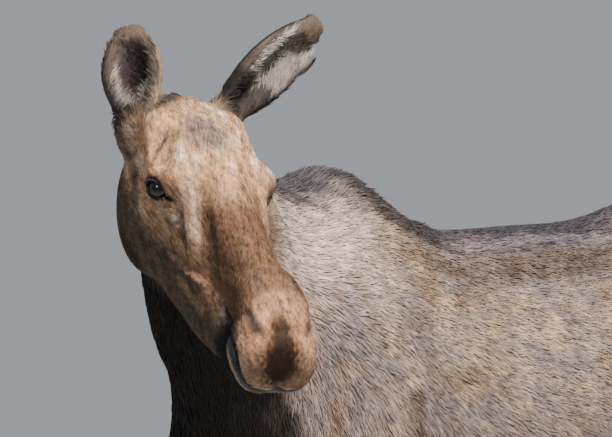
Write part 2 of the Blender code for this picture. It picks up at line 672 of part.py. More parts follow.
def build():
    for obj in list(bpy.data.objects):
        bpy.data.objects.remove(obj)
    marks = (ticks(-1.45, 0.90, BODY_CELL, [(-1.40, -0.78, HEAD_CELL)]),
             ticks(-0.72, 0.38, BODY_CELL, [(-0.65, 0.06, HEAD_CELL)]),
             ticks(-0.05, 2.18, BODY_CELL, [(1.70, 2.14, HEAD_CELL), (0.0, 0.15, FOOT_CELL)]))
    body = add_object("body", mesh_from("body", *surface(moose, marks)))
    thin = body.modifiers.new("thin", "DECIMATE")
    thin.ratio = BODY_TRIANGLES / (2 * len(body.data.polygons))
    apply_modifiers(body)
    pieces = split([body], add_cutter("floor", (4, 2, 0.2), (0, 0, -0.1), BODY_AXES))
    for name, size, centre, axes in part_cutters():
        pieces = split(pieces, add_cutter(name, size, centre, axes))
    eyes = {}
    for name, side in (("eye_left", 1), ("eye_right", -1)):
        place = on_head((EYE_AT[0], EYE_AT[1] * side, EYE_AT[2]))
        pieces = split(pieces, add_ball(name + "_socket", place, EYE_RADIUS + GAP))
        eyes[name] = add_ball(name, place, EYE_RADIUS)
    every = np.array([corners(piece) for piece in pieces])
    middle = (every[:, 0].min(0) + every[:, 1].max(0)) / 2
    stand = bpy.data.objects.new("moose", None)
    bpy.context.scene.collection.objects.link(stand)
    stand.location = (-middle[0], -middle[1], 0)
    places = piece_places()
    names, spots = list(places), np.array(list(places.values()), float)
    for piece in pieces:
        here = np.mean(corners(piece), axis=0)
        settle(piece, names[np.argmin(np.linalg.norm(spots - here, axis=1))], stand)
    for name, eye in eyes.items():
        settle(eye, name, stand)


build()
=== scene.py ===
"""Looks of the cow moose: skin, coat, eyes, hooves, light, floor and camera.

The animal's form is a distance field that joins lofts and turned ellipsoids. The skin is the surface where
that field, brought in by the depth of the coat, is zero. Folds, lids, nostrils and the mouth are added to it.
Tufts of hair grow from the skin, along the lie of the coat, out to the field's own zero surface.

Body frame: -X to the front, -Y to her left, +Z up, the floor at z = 0 and x = 0 near the middle of the trunk.
Head frame: origin at the poll, the axes running to the muzzle, to her left and up through the forehead.
All is worked out in the body frame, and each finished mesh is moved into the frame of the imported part.
"""

import math

import bpy
import numpy as np
from mathutils import Matrix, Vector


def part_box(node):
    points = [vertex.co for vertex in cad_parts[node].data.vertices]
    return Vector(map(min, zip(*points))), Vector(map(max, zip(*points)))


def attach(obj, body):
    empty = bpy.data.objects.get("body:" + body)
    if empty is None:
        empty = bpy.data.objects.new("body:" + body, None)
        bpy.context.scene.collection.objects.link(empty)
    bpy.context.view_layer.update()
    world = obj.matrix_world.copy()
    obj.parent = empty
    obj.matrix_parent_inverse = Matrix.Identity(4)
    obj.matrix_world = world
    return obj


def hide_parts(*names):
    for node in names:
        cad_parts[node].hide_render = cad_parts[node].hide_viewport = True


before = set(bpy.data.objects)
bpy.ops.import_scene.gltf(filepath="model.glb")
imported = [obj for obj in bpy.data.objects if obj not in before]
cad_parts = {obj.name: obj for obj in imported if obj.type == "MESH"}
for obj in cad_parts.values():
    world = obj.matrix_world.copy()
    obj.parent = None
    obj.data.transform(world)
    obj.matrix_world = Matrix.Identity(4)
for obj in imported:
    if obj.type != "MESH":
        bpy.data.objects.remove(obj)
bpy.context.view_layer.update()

# ---------------------------------------------------------------- driving dimensions, in metres

BLOCK = 5                   # cells along each side of a block that is looked at or passed over whole
SPREAD = 0.12               # how fast the cells grow beyond a stretch of fine ones
FAR = 0.5                   # distance held by a place that no form is near
NEAR = 0.06                 # how far round a form its distance is worked out
CORONET_Z = 0.088
CLEFT_WIDTH = 0.004
POLL = np.array((-1.038, -0.121, 1.96))
HEAD_YAW = 61.0             # degrees from straight ahead towards her left
HEAD_PITCH = 29.1           # degrees that the face dips below level
HEAD_ROLL = -1.4            # degrees that the head leans over
EYE_AT = (0.192, 0.097, -0.074)     # middle of her left eye in the head's frame
EYE_RADIUS = 0.0205

# where each foot stands
FOOT_X = {"fore_left": -0.575, "fore_right": -0.455, "hind_left": 0.615, "hind_right": 0.485}
FOOT_Y = {"fore_left": -0.135, "fore_right": 0.135, "hind_left": -0.13, "hind_right": 0.13}


# ---------------------------------------------------------------- field tools

def curve(t, stations, values):
    """Smooth curve through the values at the stations: a cubic in each span, level beyond the ends."""
    stations = np.asarray(stations, float)
    values = np.asarray(values, float)
    slopes = np.gradient(values, stations)
    t = np.clip(t, stations[0], stations[-1])
    i = np.clip(np.searchsorted(stations, t) - 1, 0, len(stations) - 2)
    span = stations[i + 1] - stations[i]
    s = (t - stations[i]) / span
    return ((2 * s**3 - 3 * s**2 + 1) * values[i] + (s**3 - 2 * s**2 + s) * span * slopes[i]
            + (3 * s**2 - 2 * s**3) * values[i + 1] + (s**3 - s**2) * span * slopes[i + 1])


def unit(ways):
    """The same ways, each of length one."""
    return ways / np.linalg.norm(ways, axis=-1)[..., None]


def turned(yaw=0.0, pitch=0.0):
    """Rows: the unit axes of a frame turned by yaw about Z, then by pitch about its own Y."""
    cy, sy = math.cos(math.radians(yaw)), math.sin(math.radians(yaw))
    cp, sp = math.cos(math.radians(pitch)), math.sin(math.radians(pitch))
    about_z = np.array(((cy, -sy, 0), (sy, cy, 0), (0, 0, 1)))
    about_y = np.array(((cp, 0, sp), (0, 1, 0), (-sp, 0, cp)))
    return (about_z @ about_y).T


def blob(points, centre, reach, axes=None):
    """Distance to an ellipsoid: how far the scaled radius is past one, over the radius's own steepness."""
    local = points - np.asarray(centre)
    if axes is not None:
        local = local @ np.asarray(axes).T
    scaled = np.abs(local) / reach
    radius = np.sqrt(np.maximum((scaled**2).sum(1), 1e-12))
    steep = np.sqrt(((scaled / radius[:, None] / reach) ** 2).sum(1))
    return (radius - 1) / steep


def loft(points, start, axes, rows, caps, corners=(2.0, 2.0)):
    """Distance to a form along the first axis. Each row holds a station, the section's middle on the two
    other axes, its half width, its reach up and its reach down; the caps are the depths of the round ends."""
    rows = np.asarray(rows, float)
    local = (points - np.asarray(start)) @ np.asarray(axes).T
    along = local[:, 0]
    side_mid, up_mid, width, up, down = (curve(along, rows[:, 0], rows[:, k]) for k in range(1, 6))
    before, after = rows[0, 0] - along, along - rows[-1, 0]
    cap = np.where(before > 0, caps[0], caps[1])
    past = np.maximum(np.maximum(before, after), 0) / cap
    over = local[:, 2] - up_mid
    tall = np.where(over > 0, up, down)
    power = np.where(over > 0, corners[0], corners[1])
    a = np.abs(local[:, 1] - side_mid) / width
    b = np.abs(over) / tall
    radius = np.maximum(a**power + b**power + past**power, 1e-12) ** (1 / power)
    steep = np.sqrt(((a / radius) ** (power - 1) / width) ** 2 + ((b / radius) ** (power - 1) / tall) ** 2
                    + ((past / radius) ** (power - 1) / cap) ** 2)
    return (radius - 1) / np.maximum(steep, 1e-6)


def rounding(mine, other, blend):
    """How far the rounded corner between two distances departs from the sharp one."""
    return (np.maximum(blend - np.abs(mine - other), 0) / blend) ** 2 * blend / 4


class Field:
    """Distance to a joined set of forms at some points, built up one form at a time."""

    def __init__(self, points):
        self.points = points
        self.value = np.full(len(points), FAR)

    def near(self, low, high, blend):
        """Which points lie in the box from low to high, or near enough to it to be changed."""
        pad = NEAR + blend
        past_low, before_high = self.points > np.asarray(low) - pad, self.points < np.asarray(high) + pad
        return np.nonzero(np.all(past_low & before_high, axis=1))[0]

    def join(self, form, low, high, blend):
        """Adds a form, rounding the corner between it and the rest over the blend."""
        at = self.near(low, high, blend)
        mine, other = self.value[at], form(self.points[at])
        self.value[at] = np.minimum(mine, other) - rounding(mine, other, blend)

    def cut(self, form, low, high, blend, depth=np.inf):
        """Takes a form away, no deeper than the depth under the surface, rounding the edge over the blend."""
        at = self.near(low, high, blend)
        mine = self.value[at]
        other = -np.maximum(form(self.points[at]), -depth - mine)
        self.value[at] = np.maximum(mine, other) + rounding(mine, other, blend)

    def add_blob(self, centre, reach, blend, axes=None, cut=False):
        """Joins or cuts an ellipsoid given by its centre, its three half sizes and its axes."""
        centre, reach = np.asarray(centre, float), np.asarray(reach, float)
        size = reach if axes is None else np.abs(np.asarray(axes)).T @ reach
        act = self.cut if cut else self.join
        act(lambda p: blob(p, centre, reach, axes), centre - size, centre + size, blend)

    def add_loft(self, start, axes, rows, caps, blend, corners=(2.0, 2.0)):
        """Joins a loft, looked at only inside a box around its stations."""
        start, axes, table = np.asarray(start, float), np.asarray(axes, float), np.asarray(rows, float)
        mids = start + table[:, :3] @ axes
        wide = np.sqrt(table[:, 3] ** 2 + np.maximum(table[:, 4], table[:, 5]) ** 2).max()
        first, last = table[0, 0] - caps[0], table[-1, 0] + caps[1]
        ends = np.array((start + first * axes[0], start + last * axes[0]))
        every = np.vstack((mids, ends))
        self.join(lambda p: loft(p, start, axes, table, caps, corners),
                  every.min(0) - wide, every.max(0) + wide, blend)


# ---------------------------------------------------------------- trunk

# station x, middle y, height of the widest line, half width, reach up, reach down
TRUNK = [
    (-0.76, 0, 1.28, 0.12, 0.27, 0.2),
    (-0.69, 0, 1.27, 0.172, 0.43, 0.29),
    (-0.62, 0, 1.26, 0.215, 0.505, 0.32),
    (-0.54, 0, 1.26, 0.236, 0.535, 0.342),
    (-0.46, 0, 1.25, 0.246, 0.545, 0.342),
    (-0.4, 0, 1.24, 0.252, 0.535, 0.336),
    (-0.32, 0, 1.23, 0.262, 0.5, 0.33),
    (-0.21, 0, 1.21, 0.28, 0.465, 0.318),
    (-0.08, 0, 1.19, 0.293, 0.457, 0.304),
    (0.06, 0, 1.18, 0.298, 0.466, 0.298),
    (0.2, 0, 1.19, 0.292, 0.462, 0.292),
    (0.34, 0, 1.23, 0.272, 0.44, 0.295),
    (0.45, 0, 1.28, 0.254, 0.408, 0.29),
    (0.555, 0, 1.31, 0.232, 0.365, 0.27),
    (0.655, 0, 1.33, 0.198, 0.295, 0.23),
    (0.725, 0, 1.34, 0.152, 0.22, 0.18),
]
TRUNK_CAPS = (0.09, 0.09)


def side_pair(field, centre, reach, blend, yaw=0.0, pitch=0.0, cut=False):
    """The same blob on her left and, mirrored, on her right."""
    for side in (-1, 1):
        axes = turned(yaw * side, pitch)
        field.add_blob((centre[0], centre[1] * side, centre[2]), reach, blend, axes, cut)


def add_trunk(field):
    """Barrel, withers hump, chest, shoulder blades, haunches and the hollow of the flank."""
    field.add_loft((0, 0, 0), np.eye(3), TRUNK, TRUNK_CAPS, 0.05, (1.75, 2.25))
    side_pair(field, (-0.555, 0.155, 1.34), (0.115, 0.085, 0.34), 0.1, pitch=-22)
    side_pair(field, (-0.64, 0.12, 1.18), (0.12, 0.1, 0.15), 0.1)
    side_pair(field, (-0.47, 0.15, 1.1), (0.11, 0.095, 0.16), 0.09)
    field.add_blob((-0.75, 0, 1.14), (0.12, 0.12, 0.2), 0.1)
    side_pair(field, (0.56, 0.125, 1.28), (0.19, 0.115, 0.3), 0.1, pitch=12)
    side_pair(field, (0.46, 0.135, 1.09), (0.13, 0.095, 0.19), 0.08, pitch=-18)
    side_pair(field, (0.42, 0.145, 1.5), (0.14, 0.07, 0.075), 0.13, pitch=14)
    side_pair(field, (0.66, 0.085, 1.49), (0.11, 0.075, 0.09), 0.09, pitch=25)
    side_pair(field, (0.3, 0.305, 1.4), (0.1, 0.036, 0.13), 0.14, yaw=-12, cut=True)


def add_tail(field):
    """A short tail lying against the rump."""
    field.add_blob((0.808, 0, 1.425), (0.034, 0.034, 0.085), 0.02, turned(pitch=-14))


# ---------------------------------------------------------------- neck

NECK_START = np.array((-0.62, 0.0, 1.4))
NECK_END = np.array((-1.01, -0.085, 1.815))


def neck_axes():
    """Rows: along the neck to the head, to her right and up through the crest."""
    along = unit(NECK_END - NECK_START)
    side = unit(np.cross(along, (0, 0, 1)))
    return np.array((along, side, np.cross(side, along)))


# station, middle to her right, middle up, half width, reach to the crest, reach to the throat
NECK = [
    (0.0, 0, 0.0, 0.17, 0.3, 0.28),
    (0.09, 0, 0.02, 0.163, 0.305, 0.265),
    (0.18, 0.008, 0.03, 0.16, 0.275, 0.25),
    (0.26, 0.018, 0.03, 0.156, 0.225, 0.23),
    (0.34, 0.02, 0.02, 0.144, 0.185, 0.19),
    (0.43, 0.014, 0.01, 0.128, 0.15, 0.148),
    (0.52, 0.004, 0.005, 0.112, 0.125, 0.118),
    (0.59, -0.01, 0.0, 0.1, 0.105, 0.1),
]


def add_neck(field):
    """A deep neck that narrows to the head."""
    field.add_loft(NECK_START, neck_axes(), NECK, (0.1, 0.06), 0.09, (1.9, 2.1))


# ---------------------------------------------------------------- head

def head_axes():
    """Rows: towards the muzzle, to her left and up through the forehead."""
    yaw, pitch, roll = (math.radians(v) for v in (HEAD_YAW, HEAD_PITCH, HEAD_ROLL))
    level = np.array((-math.cos(yaw), -math.sin(yaw), 0.0))
    left = np.cross((0, 0, 1), level)
    muzzle = level * math.cos(pitch) - np.array((0, 0, 1)) * math.sin(pitch)
    up = np.cross(muzzle, left)
    return np.array((muzzle, left * math.cos(roll) + up * math.sin(roll),
                     up * math.cos(roll) - left * math.sin(roll)))


HEAD_AXES = head_axes()

# station from the poll, middle left, height of the widest line, half width, reach up, reach down
FACE = [
    (-0.03, 0, -0.085, 0.08, 0.06, 0.075),
    (0.03, 0, -0.085, 0.083, 0.075, 0.09),
    (0.09, 0, -0.085, 0.086, 0.087, 0.1),
    (0.15, 0, -0.085, 0.089, 0.091, 0.105),
    (0.21, 0, -0.09, 0.079, 0.088, 0.105),
    (0.28, 0, -0.096, 0.066, 0.08, 0.095),
    (0.35, 0, -0.102, 0.057, 0.074, 0.08),
    (0.42, 0, -0.107, 0.05, 0.071, 0.07),
    (0.48, 0, -0.112, 0.048, 0.072, 0.068),
    (0.535, 0, -0.12, 0.053, 0.074, 0.074),
    (0.58, 0, -0.135, 0.064, 0.076, 0.072),
    (0.61, 0, -0.15, 0.064, 0.072, 0.066),
    (0.632, 0, -0.162, 0.058, 0.062, 0.056),
]
JAW = [
    (0.02, 0.0, -0.165, 0.068, 0.06, 0.088),
    (0.08, -0.001, -0.175, 0.082, 0.06, 0.118),
    (0.14, -0.003, -0.18, 0.084, 0.06, 0.128),
    (0.21, -0.007, -0.18, 0.078, 0.06, 0.132),
    (0.3, -0.014, -0.18, 0.066, 0.06, 0.118),
    (0.38, -0.018, -0.182, 0.06, 0.05, 0.105),
    (0.46, -0.02, -0.188, 0.053, 0.05, 0.078),
    (0.53, -0.02, -0.198, 0.046, 0.04, 0.046),
    (0.565, -0.02, -0.202, 0.042, 0.035, 0.038),
]


def on_head(point):
    """A place given in the head's frame, in the body frame."""
    return POLL + np.asarray(point, float) @ HEAD_AXES


def head_blob(field, centre, reach, blend, yaw=0.0, pitch=0.0, cut=False):
    """A blob placed and turned in the head's frame."""
    field.add_blob(on_head(centre), reach, blend, turned(yaw, pitch) @ HEAD_AXES, cut)


def head_pair(field, centre, reach, blend, yaw=0.0, pitch=0.0, cut=False):
    """The same blob on both sides of the head."""
    for side in (-1, 1):
        place = (centre[0], centre[1] * side, centre[2])
        head_blob(field, place, reach, blend, yaw * side, pitch, cut)


def add_head(field):
    """Skull, long nose, jaw, cheeks, brows, nostril swellings, the drooping upper lip and the chin."""
    field.add_loft(POLL, HEAD_AXES, FACE, (0.06, 0.036), 0.05, (2.4, 2.3))
    field.add_loft(POLL, HEAD_AXES, JAW, (0.05, 0.03), 0.025, (2.0, 2.2))
    head_pair(field, (0.1, 0.079, -0.19), (0.105, 0.042, 0.095), 0.05, pitch=24)
    head_pair(field, (0.162, 0.081, -0.047), (0.08, 0.035, 0.032), 0.04, yaw=5)
    head_pair(field, (0.19, 0.08, -0.078), (0.044, 0.03, 0.036), 0.03, yaw=-12)
    head_pair(field, (0.29, 0.058, -0.12), (0.1, 0.02, 0.022), 0.03, yaw=-12, pitch=6)
    head_pair(field, (0.55, 0.034, -0.092), (0.056, 0.026, 0.038), 0.03, yaw=8, pitch=22)
    head_pair(field, (0.598, 0.038, -0.176), (0.058, 0.043, 0.056), 0.035, pitch=25)
    head_blob(field, (0.05, 0, -0.03), (0.08, 0.06, 0.026), 0.04)
    head_pair(field, (-0.02, 0.088, -0.078), (0.045, 0.031, 0.05), 0.035)


# ---------------------------------------------------------------- ears

# her right ear stands up and opens forward; her left ear leans out and opens forward and down;
# fuller is the share by which the tip is wider than the stations say
EARS = {
    "right": {"root": (-0.02, -0.086, -0.06), "tip": (-0.215, -0.053, 0.016), "open": (0.6, -0.45, 0.5),
              "fuller": 0.12},
    "left": {"root": (-0.02, 0.09, -0.05), "tip": (-0.1, 0.268, 0.106), "open": (0.8, 0.02, 0.05),
             "fuller": -0.14},
}
# station along the ear as a share of its length, half width, thickness of the bowl
EAR_ROWS = [
    (-0.1, 0.032, 0.032), (0.05, 0.036, 0.034), (0.18, 0.043, 0.038), (0.35, 0.053, 0.04),
    (0.52, 0.057, 0.036), (0.68, 0.053, 0.03), (0.82, 0.042, 0.024), (0.93, 0.028, 0.018),
]


def ear_frame(side):
    """Where the ear starts, its length and the rows: along it, across it and out of its opening."""
    ear = EARS[side]
    root, tip = on_head(ear["root"]), on_head(ear["tip"])
    along = tip - root
    length = np.linalg.norm(along)
    along /= length
    out = np.asarray(ear["open"]) @ HEAD_AXES
    out = unit(out - along * (out @ along))
    return root, length, np.array((along, np.cross(out, along), out))


def add_ears(field):
    """Each ear is a leaf-shaped loft hollowed by a slimmer one, so that a rolled bowl is left."""
    for side, ear in EARS.items():
        root, length, axes = ear_frame(side)
        stations = [(s, w * (1 + ear["fuller"] * max(s, 0) ** 3), t) for s, w, t in EAR_ROWS]
        rows = [(s * length, 0, 0, w, max(t * 0.55, 0.016), t) for s, w, t in stations]
        field.add_loft(root, axes, rows, (0.02, 0.02), 0.022, (2.3, 2.3))
        inner = np.array([(s * length, 0, t * 0.75, w * 0.7, t * 1.2, t * 1.05)
                          for s, w, t in stations if 0.1 < s < 0.75])
        middle = root + axes[0] * length * 0.5
        field.cut(lambda p: loft(p, root, axes, inner, (0.02, 0.03)),
                  middle - length * 0.75, middle + length * 0.75, 0.012)


# ---------------------------------------------------------------- legs

DOWN_AXES = np.array(((0, 0, -1), (0, 1, 0), (-1, 0, 0)))

# height, x from the foot, y from the foot (outwards), half width, reach forward, reach back
FORELEG = [
    (1.16, 0.055, 0.03, 0.075, 0.11, 0.105),
    (1.04, 0.06, 0.03, 0.072, 0.1, 0.105),
    (0.94, 0.062, 0.022, 0.064, 0.086, 0.088),
    (0.84, 0.06, 0.014, 0.055, 0.068, 0.07),
    (0.72, 0.056, 0.006, 0.046, 0.054, 0.052),
    (0.61, 0.052, 0.0, 0.044, 0.047, 0.045),
    (0.545, 0.05, 0.0, 0.049, 0.052, 0.045),
    (0.49, 0.05, 0.0, 0.047, 0.048, 0.047),
    (0.42, 0.048, 0.0, 0.036, 0.034, 0.041),
    (0.32, 0.044, 0.0, 0.032, 0.03, 0.037),
    (0.23, 0.04, 0.0, 0.034, 0.032, 0.04),
    (0.175, 0.034, 0.0, 0.04, 0.038, 0.046),
    (0.125, 0.02, 0.0, 0.04, 0.04, 0.042),
    (0.085, 0.004, 0.0, 0.046, 0.052, 0.048),
]
HINDLEG = [
    (1.2, -0.07, 0.02, 0.08, 0.15, 0.15),
    (1.08, -0.11, 0.022, 0.078, 0.125, 0.15),
    (0.98, -0.105, 0.018, 0.068, 0.105, 0.13),
    (0.88, -0.06, 0.012, 0.056, 0.085, 0.1),
    (0.79, -0.008, 0.006, 0.047, 0.066, 0.074),
    (0.71, 0.032, 0.002, 0.042, 0.058, 0.064),
    (0.645, 0.048, 0.0, 0.043, 0.06, 0.064),
    (0.58, 0.05, 0.0, 0.043, 0.054, 0.054),
    (0.5, 0.044, 0.0, 0.036, 0.039, 0.041),
    (0.4, 0.038, 0.0, 0.032, 0.032, 0.037),
    (0.28, 0.032, 0.0, 0.032, 0.032, 0.037),
    (0.2, 0.028, 0.0, 0.036, 0.035, 0.044),
    (0.145, 0.02, 0.0, 0.039, 0.039, 0.042),
    (0.085, 0.004, 0.0, 0.045, 0.052, 0.048),
]
HOOF = [
    (0.105, 0.01, 0.0, 0.036, 0.04, 0.036),
    (0.07, 0.002, 0.0, 0.049, 0.062, 0.052),
    (0.03, -0.006, 0.0, 0.055, 0.082, 0.056),
    (-0.02, -0.012, 0.0, 0.058, 0.096, 0.058),
]


def leg_rows(rows, leg):
    """The leg's stations run down from its top, at its foot's place."""
    out = 1 if leg.endswith("right") else -1
    x, y = FOOT_X[leg], FOOT_Y[leg]
    return [(-z, y + out * dy, -(x + dx), w, f, b) for z, dx, dy, w, f, b in rows]


def add_legs(field):
    """Four legs with hooves that run a little below the floor, where they are cut flat, and dewclaws."""
    for leg, x in FOOT_X.items():
        rows = FORELEG if leg.startswith("fore") else HINDLEG
        field.add_loft((0, 0, 0), DOWN_AXES, leg_rows(rows, leg), (0.08, 0.02), 0.05, (2.1, 2.1))
        field.add_loft((0, 0, 0), DOWN_AXES, leg_rows(HOOF, leg), (0.012, 0.01), 0.012, (1.9, 2.2))
        for side in (-1, 1):
            field.add_blob((x + 0.058, FOOT_Y[leg] + side * 0.024, 0.13), (0.02, 0.016, 0.03), 0.02,
                           turned(pitch=-25))
        if leg.startswith("hind"):
            field.add_blob((x + 0.098, FOOT_Y[leg], 0.7), (0.022, 0.024, 0.055), 0.03, turned(pitch=-8))


# ---------------------------------------------------------------- surface of a field

def ticks(low, high, coarse, stretches):
    """Marks along an axis: as close as each stretch (start, end, spacing) asks, growing apart beyond it."""
    marks = [low]
    while marks[-1] < high:
        steps = [fine + SPREAD * max(start - marks[-1], marks[-1] - end, 0) for start, end, fine in stretches]
        marks.append(marks[-1] + min(coarse, *steps))
    extra = -(len(marks) - 1) % BLOCK
    return np.array(marks + [marks[-1] + coarse * (k + 1) for k in range(extra)])


def surface(distance, marks):
    """The zero surface: each cell that it passes through gets a point, and neighbours are joined by quads.

    Blocks of cells that lie far from the surface are passed over. A cell's point is the mean of the places
    where the surface crosses its edges, and a quad is laid round each crossed edge.
    """
    counts = [(len(m) - 1) // BLOCK for m in marks]
    grid = np.stack(np.meshgrid(*(np.arange(n) for n in counts), indexing="ij"), -1).reshape(-1, 3)
    first = np.stack([marks[k][grid[:, k] * BLOCK] for k in range(3)], 1)
    last = np.stack([marks[k][(grid[:, k] + 1) * BLOCK] for k in range(3)], 1)
    near = np.abs(distance((first + last) / 2)) < np.linalg.norm(last - first, axis=1)
    grid = grid[near]
    steps = np.stack(np.meshgrid(*(np.arange(BLOCK + 1),) * 3, indexing="ij"), -1).reshape(-1, 3)
    strides = np.array((len(marks[1]) * len(marks[2]), len(marks[2]), 1), np.int64)
    key = np.unique((grid[:, None] * BLOCK + steps[None]).reshape(-1, 3) @ strides)
    place = np.stack((key // strides[0], key // strides[1] % len(marks[1]), key % strides[1]), 1)
    at = np.stack([marks[k][place[:, k]] for k in range(3)], 1)
    value = distance(at)
    value[value == 0] = 1e-9
    quads, points = [], []
    for axis in range(3):
        found = np.minimum(np.searchsorted(key, key + strides[axis]), len(key) - 1)
        crossed = (key[found] == key + strides[axis]) & (value * value[found] < 0)
        a, b = np.nonzero(crossed)[0], found[crossed]
        share = (value[a] / (value[a] - value[b]))[:, None]
        u, v = strides[(axis + 1) % 3], strides[(axis + 2) % 3]
        around = np.stack((key[a], key[a] - u, key[a] - u - v, key[a] - v), 1)
        around[value[a] > 0] = around[value[a] > 0][:, ::-1]
        quads.append(around)
        points.append(np.repeat(at[a] * (1 - share) + at[b] * share, 4, 0))
    _, index = np.unique(np.concatenate(quads).ravel(), return_inverse=True)
    points = np.concatenate(points)
    total = np.bincount(index)
    verts = np.stack([np.bincount(index, points[:, k]) / total for k in range(3)], 1)
    return verts, index.reshape(-1, 4)


def in_scene(name, data):
    """A new object in the scene that shows a mesh, a camera or a lamp."""
    obj = bpy.data.objects.new(name, data)
    bpy.context.scene.collection.objects.link(obj)
    return obj


def mesh_from(name, verts, faces):
    """A mesh of the given points and faces."""
    mesh = bpy.data.meshes.new(name)
    mesh.from_pydata(verts.tolist(), [], faces.tolist())
    mesh.update()
    return mesh


# ---------------------------------------------------------------- regions of the body

# x and height of the top line of her neck and back
RIDGE = np.array([(-1.0, 1.904), (-0.9, 1.872), (-0.8, 1.82), (-0.72, 1.788), (-0.64, 1.78), (-0.55, 1.8),
                  (-0.45, 1.778), (-0.4, 1.737), (-0.3, 1.677), (-0.2, 1.678), (0.0, 1.658), (0.2, 1.664),
                  (0.4, 1.682), (0.6, 1.656), (0.7, 1.6), (0.8, 1.504)])


def rise(value, low, high):
    """Smooth rise from 0 at low to 1 at high; falls instead where high is under low."""
    t = np.clip((value - low) / (high - low), 0, 1)
    return t * t * (3 - 2 * t)


def in_head(points):
    """Places in the head's frame."""
    return (points - POLL) @ HEAD_AXES.T


def head_share(points):
    """1 on the head, 0 on the neck and body."""
    at = in_head(points)
    return rise(at[:, 0], -0.07, 0.05) * rise(at[:, 2], -0.37, -0.29) * rise(np.abs(at[:, 1]), 0.24, 0.16)


def ear_place(points, side):
    """Share of the ear's length, and the distances across it and out of its opening."""
    root, length, axes = ear_frame(side)
    at = (points - root) @ axes.T
    return at[:, 0] / length, at[:, 1], at[:, 2]


def ear_facing(normals, side):
    """1 where the surface looks out of the ear's opening, -1 where it looks back."""
    return normals @ ear_frame(side)[2][2]


def over_ear(place, start, end=(1.28, 1.16), away=(0.1, 0.078)):
    """1 on an ear: rises past the start along it, falls before the end, and falls with the distance away."""
    along, across, out = place
    return rise(along, *start) * rise(along, *end) * rise(np.hypot(across, out), *away)


def ear_share(points):
    """1 on the two ears, 0 elsewhere."""
    return np.max([over_ear(ear_place(points, side), (0.02, 0.22)) for side in EARS], axis=0)


def leg_share(points):
    """1 on the legs, 0 above the elbow and the stifle."""
    return rise(points[:, 2], 0.98, 0.82)


def below_ridge(points):
    """Height of the ridge of the back above each point."""
    return curve(points[:, 0], RIDGE[:, 0], RIDGE[:, 1]) - points[:, 2]


def crest_share(points):
    """1 along the top of the hump, where the hair stands highest."""
    x = points[:, 0]
    return rise(below_ridge(points), 0.075, 0.015) * rise(x, -0.84, -0.7) * rise(x, 0.0, -0.3)


# how far the skin lies inside the tips of the coat, and how much more under the crest
DEPTH = {"body": 0.006, "crest": 0.004, "leg": 0.003, "head": 0.0016, "ear": 0.0014}


def coat_depth(points):
    """Depth of the coat at each place."""
    depth = DEPTH["body"] + DEPTH["crest"] * crest_share(points)
    for part, share in (("leg", leg_share), ("head", head_share), ("ear", ear_share)):
        depth += (DEPTH[part] - depth) * share(points)
    return depth


# ---------------------------------------------------------------- skin

EYE_OUT = (0.42, 0.88, 0.2)         # way that her left eye looks, in the head's frame
EYE_SLIT = (0.9, -0.44, 0.04)       # way from its outer to its inner corner
LID_REACH = (0.033, 0.0245, 0.0265)     # half sizes of the lids, along the slit, out and up
LID_OPENING = (0.027, 0.0225, 0.0155)   # half sizes of the opening cut in them
# heights of the mouth line, and of the hair's edge under it, at stations from the poll
MOUTH_LINE = np.array([(0.47, -0.15), (0.5, -0.156), (0.54, -0.151), (0.58, -0.143), (0.605, -0.147),
                       (0.628, -0.165), (0.648, -0.192), (0.662, -0.218)])
LIP_LINE = np.array([(0.47, -0.165), (0.58, -0.161), (0.605, -0.17), (0.627, -0.188), (0.644, -0.213),
                     (0.66, -0.238)])


def eye_frame(side):
    """Middle of an eye and the rows: along the slit to its inner corner, out of the head and up."""
    turn = np.array((1, side, 1))
    out = unit(np.array(EYE_OUT) * turn @ HEAD_AXES)
    slit = np.array(EYE_SLIT) * turn @ HEAD_AXES
    slit = unit(slit - out * (out @ slit))
    up = np.cross(slit, out) * side
    return on_head(np.array(EYE_AT) * turn), np.array((slit, out, up * np.sign(up @ HEAD_AXES[2])))


def eye_place(points, side):
    """Places in the frame of an eye: along the slit, out of the head and up."""
    centre, axes = eye_frame(side)
    return (points - centre) @ axes.T


def add_lids(field):
    """Lids wrapped round each eyeball, an almond opening, the tear groove and the folds round the eye."""
    for side in (-1, 1):
        centre, axes = eye_frame(side)
        slit, out, up = axes
        field.add_blob(centre, LID_REACH, 0.012, axes)
        field.add_blob(centre + slit * 0.03 + out * 0.006 - up * 0.004, (0.018, 0.012, 0.01), 0.012, axes)
        turn = (-16 * side, -14)
        head_blob(field, (0.214, 0.098 * side, -0.101), (0.034, 0.012, 0.008), 0.01, *turn)
        head_blob(field, (0.196, 0.11 * side, -0.116), (0.04, 0.01, 0.005), 0.012, *turn, cut=True)
        field.add_blob(centre + out * 0.021 - up * 0.0012, LID_OPENING, 0.002, axes, cut=True)
        corner = centre + slit * 0.028 + out * 0.017 - up * 0.003
        field.add_blob(corner, (0.016, 0.008, 0.003), 0.004, axes, cut=True)


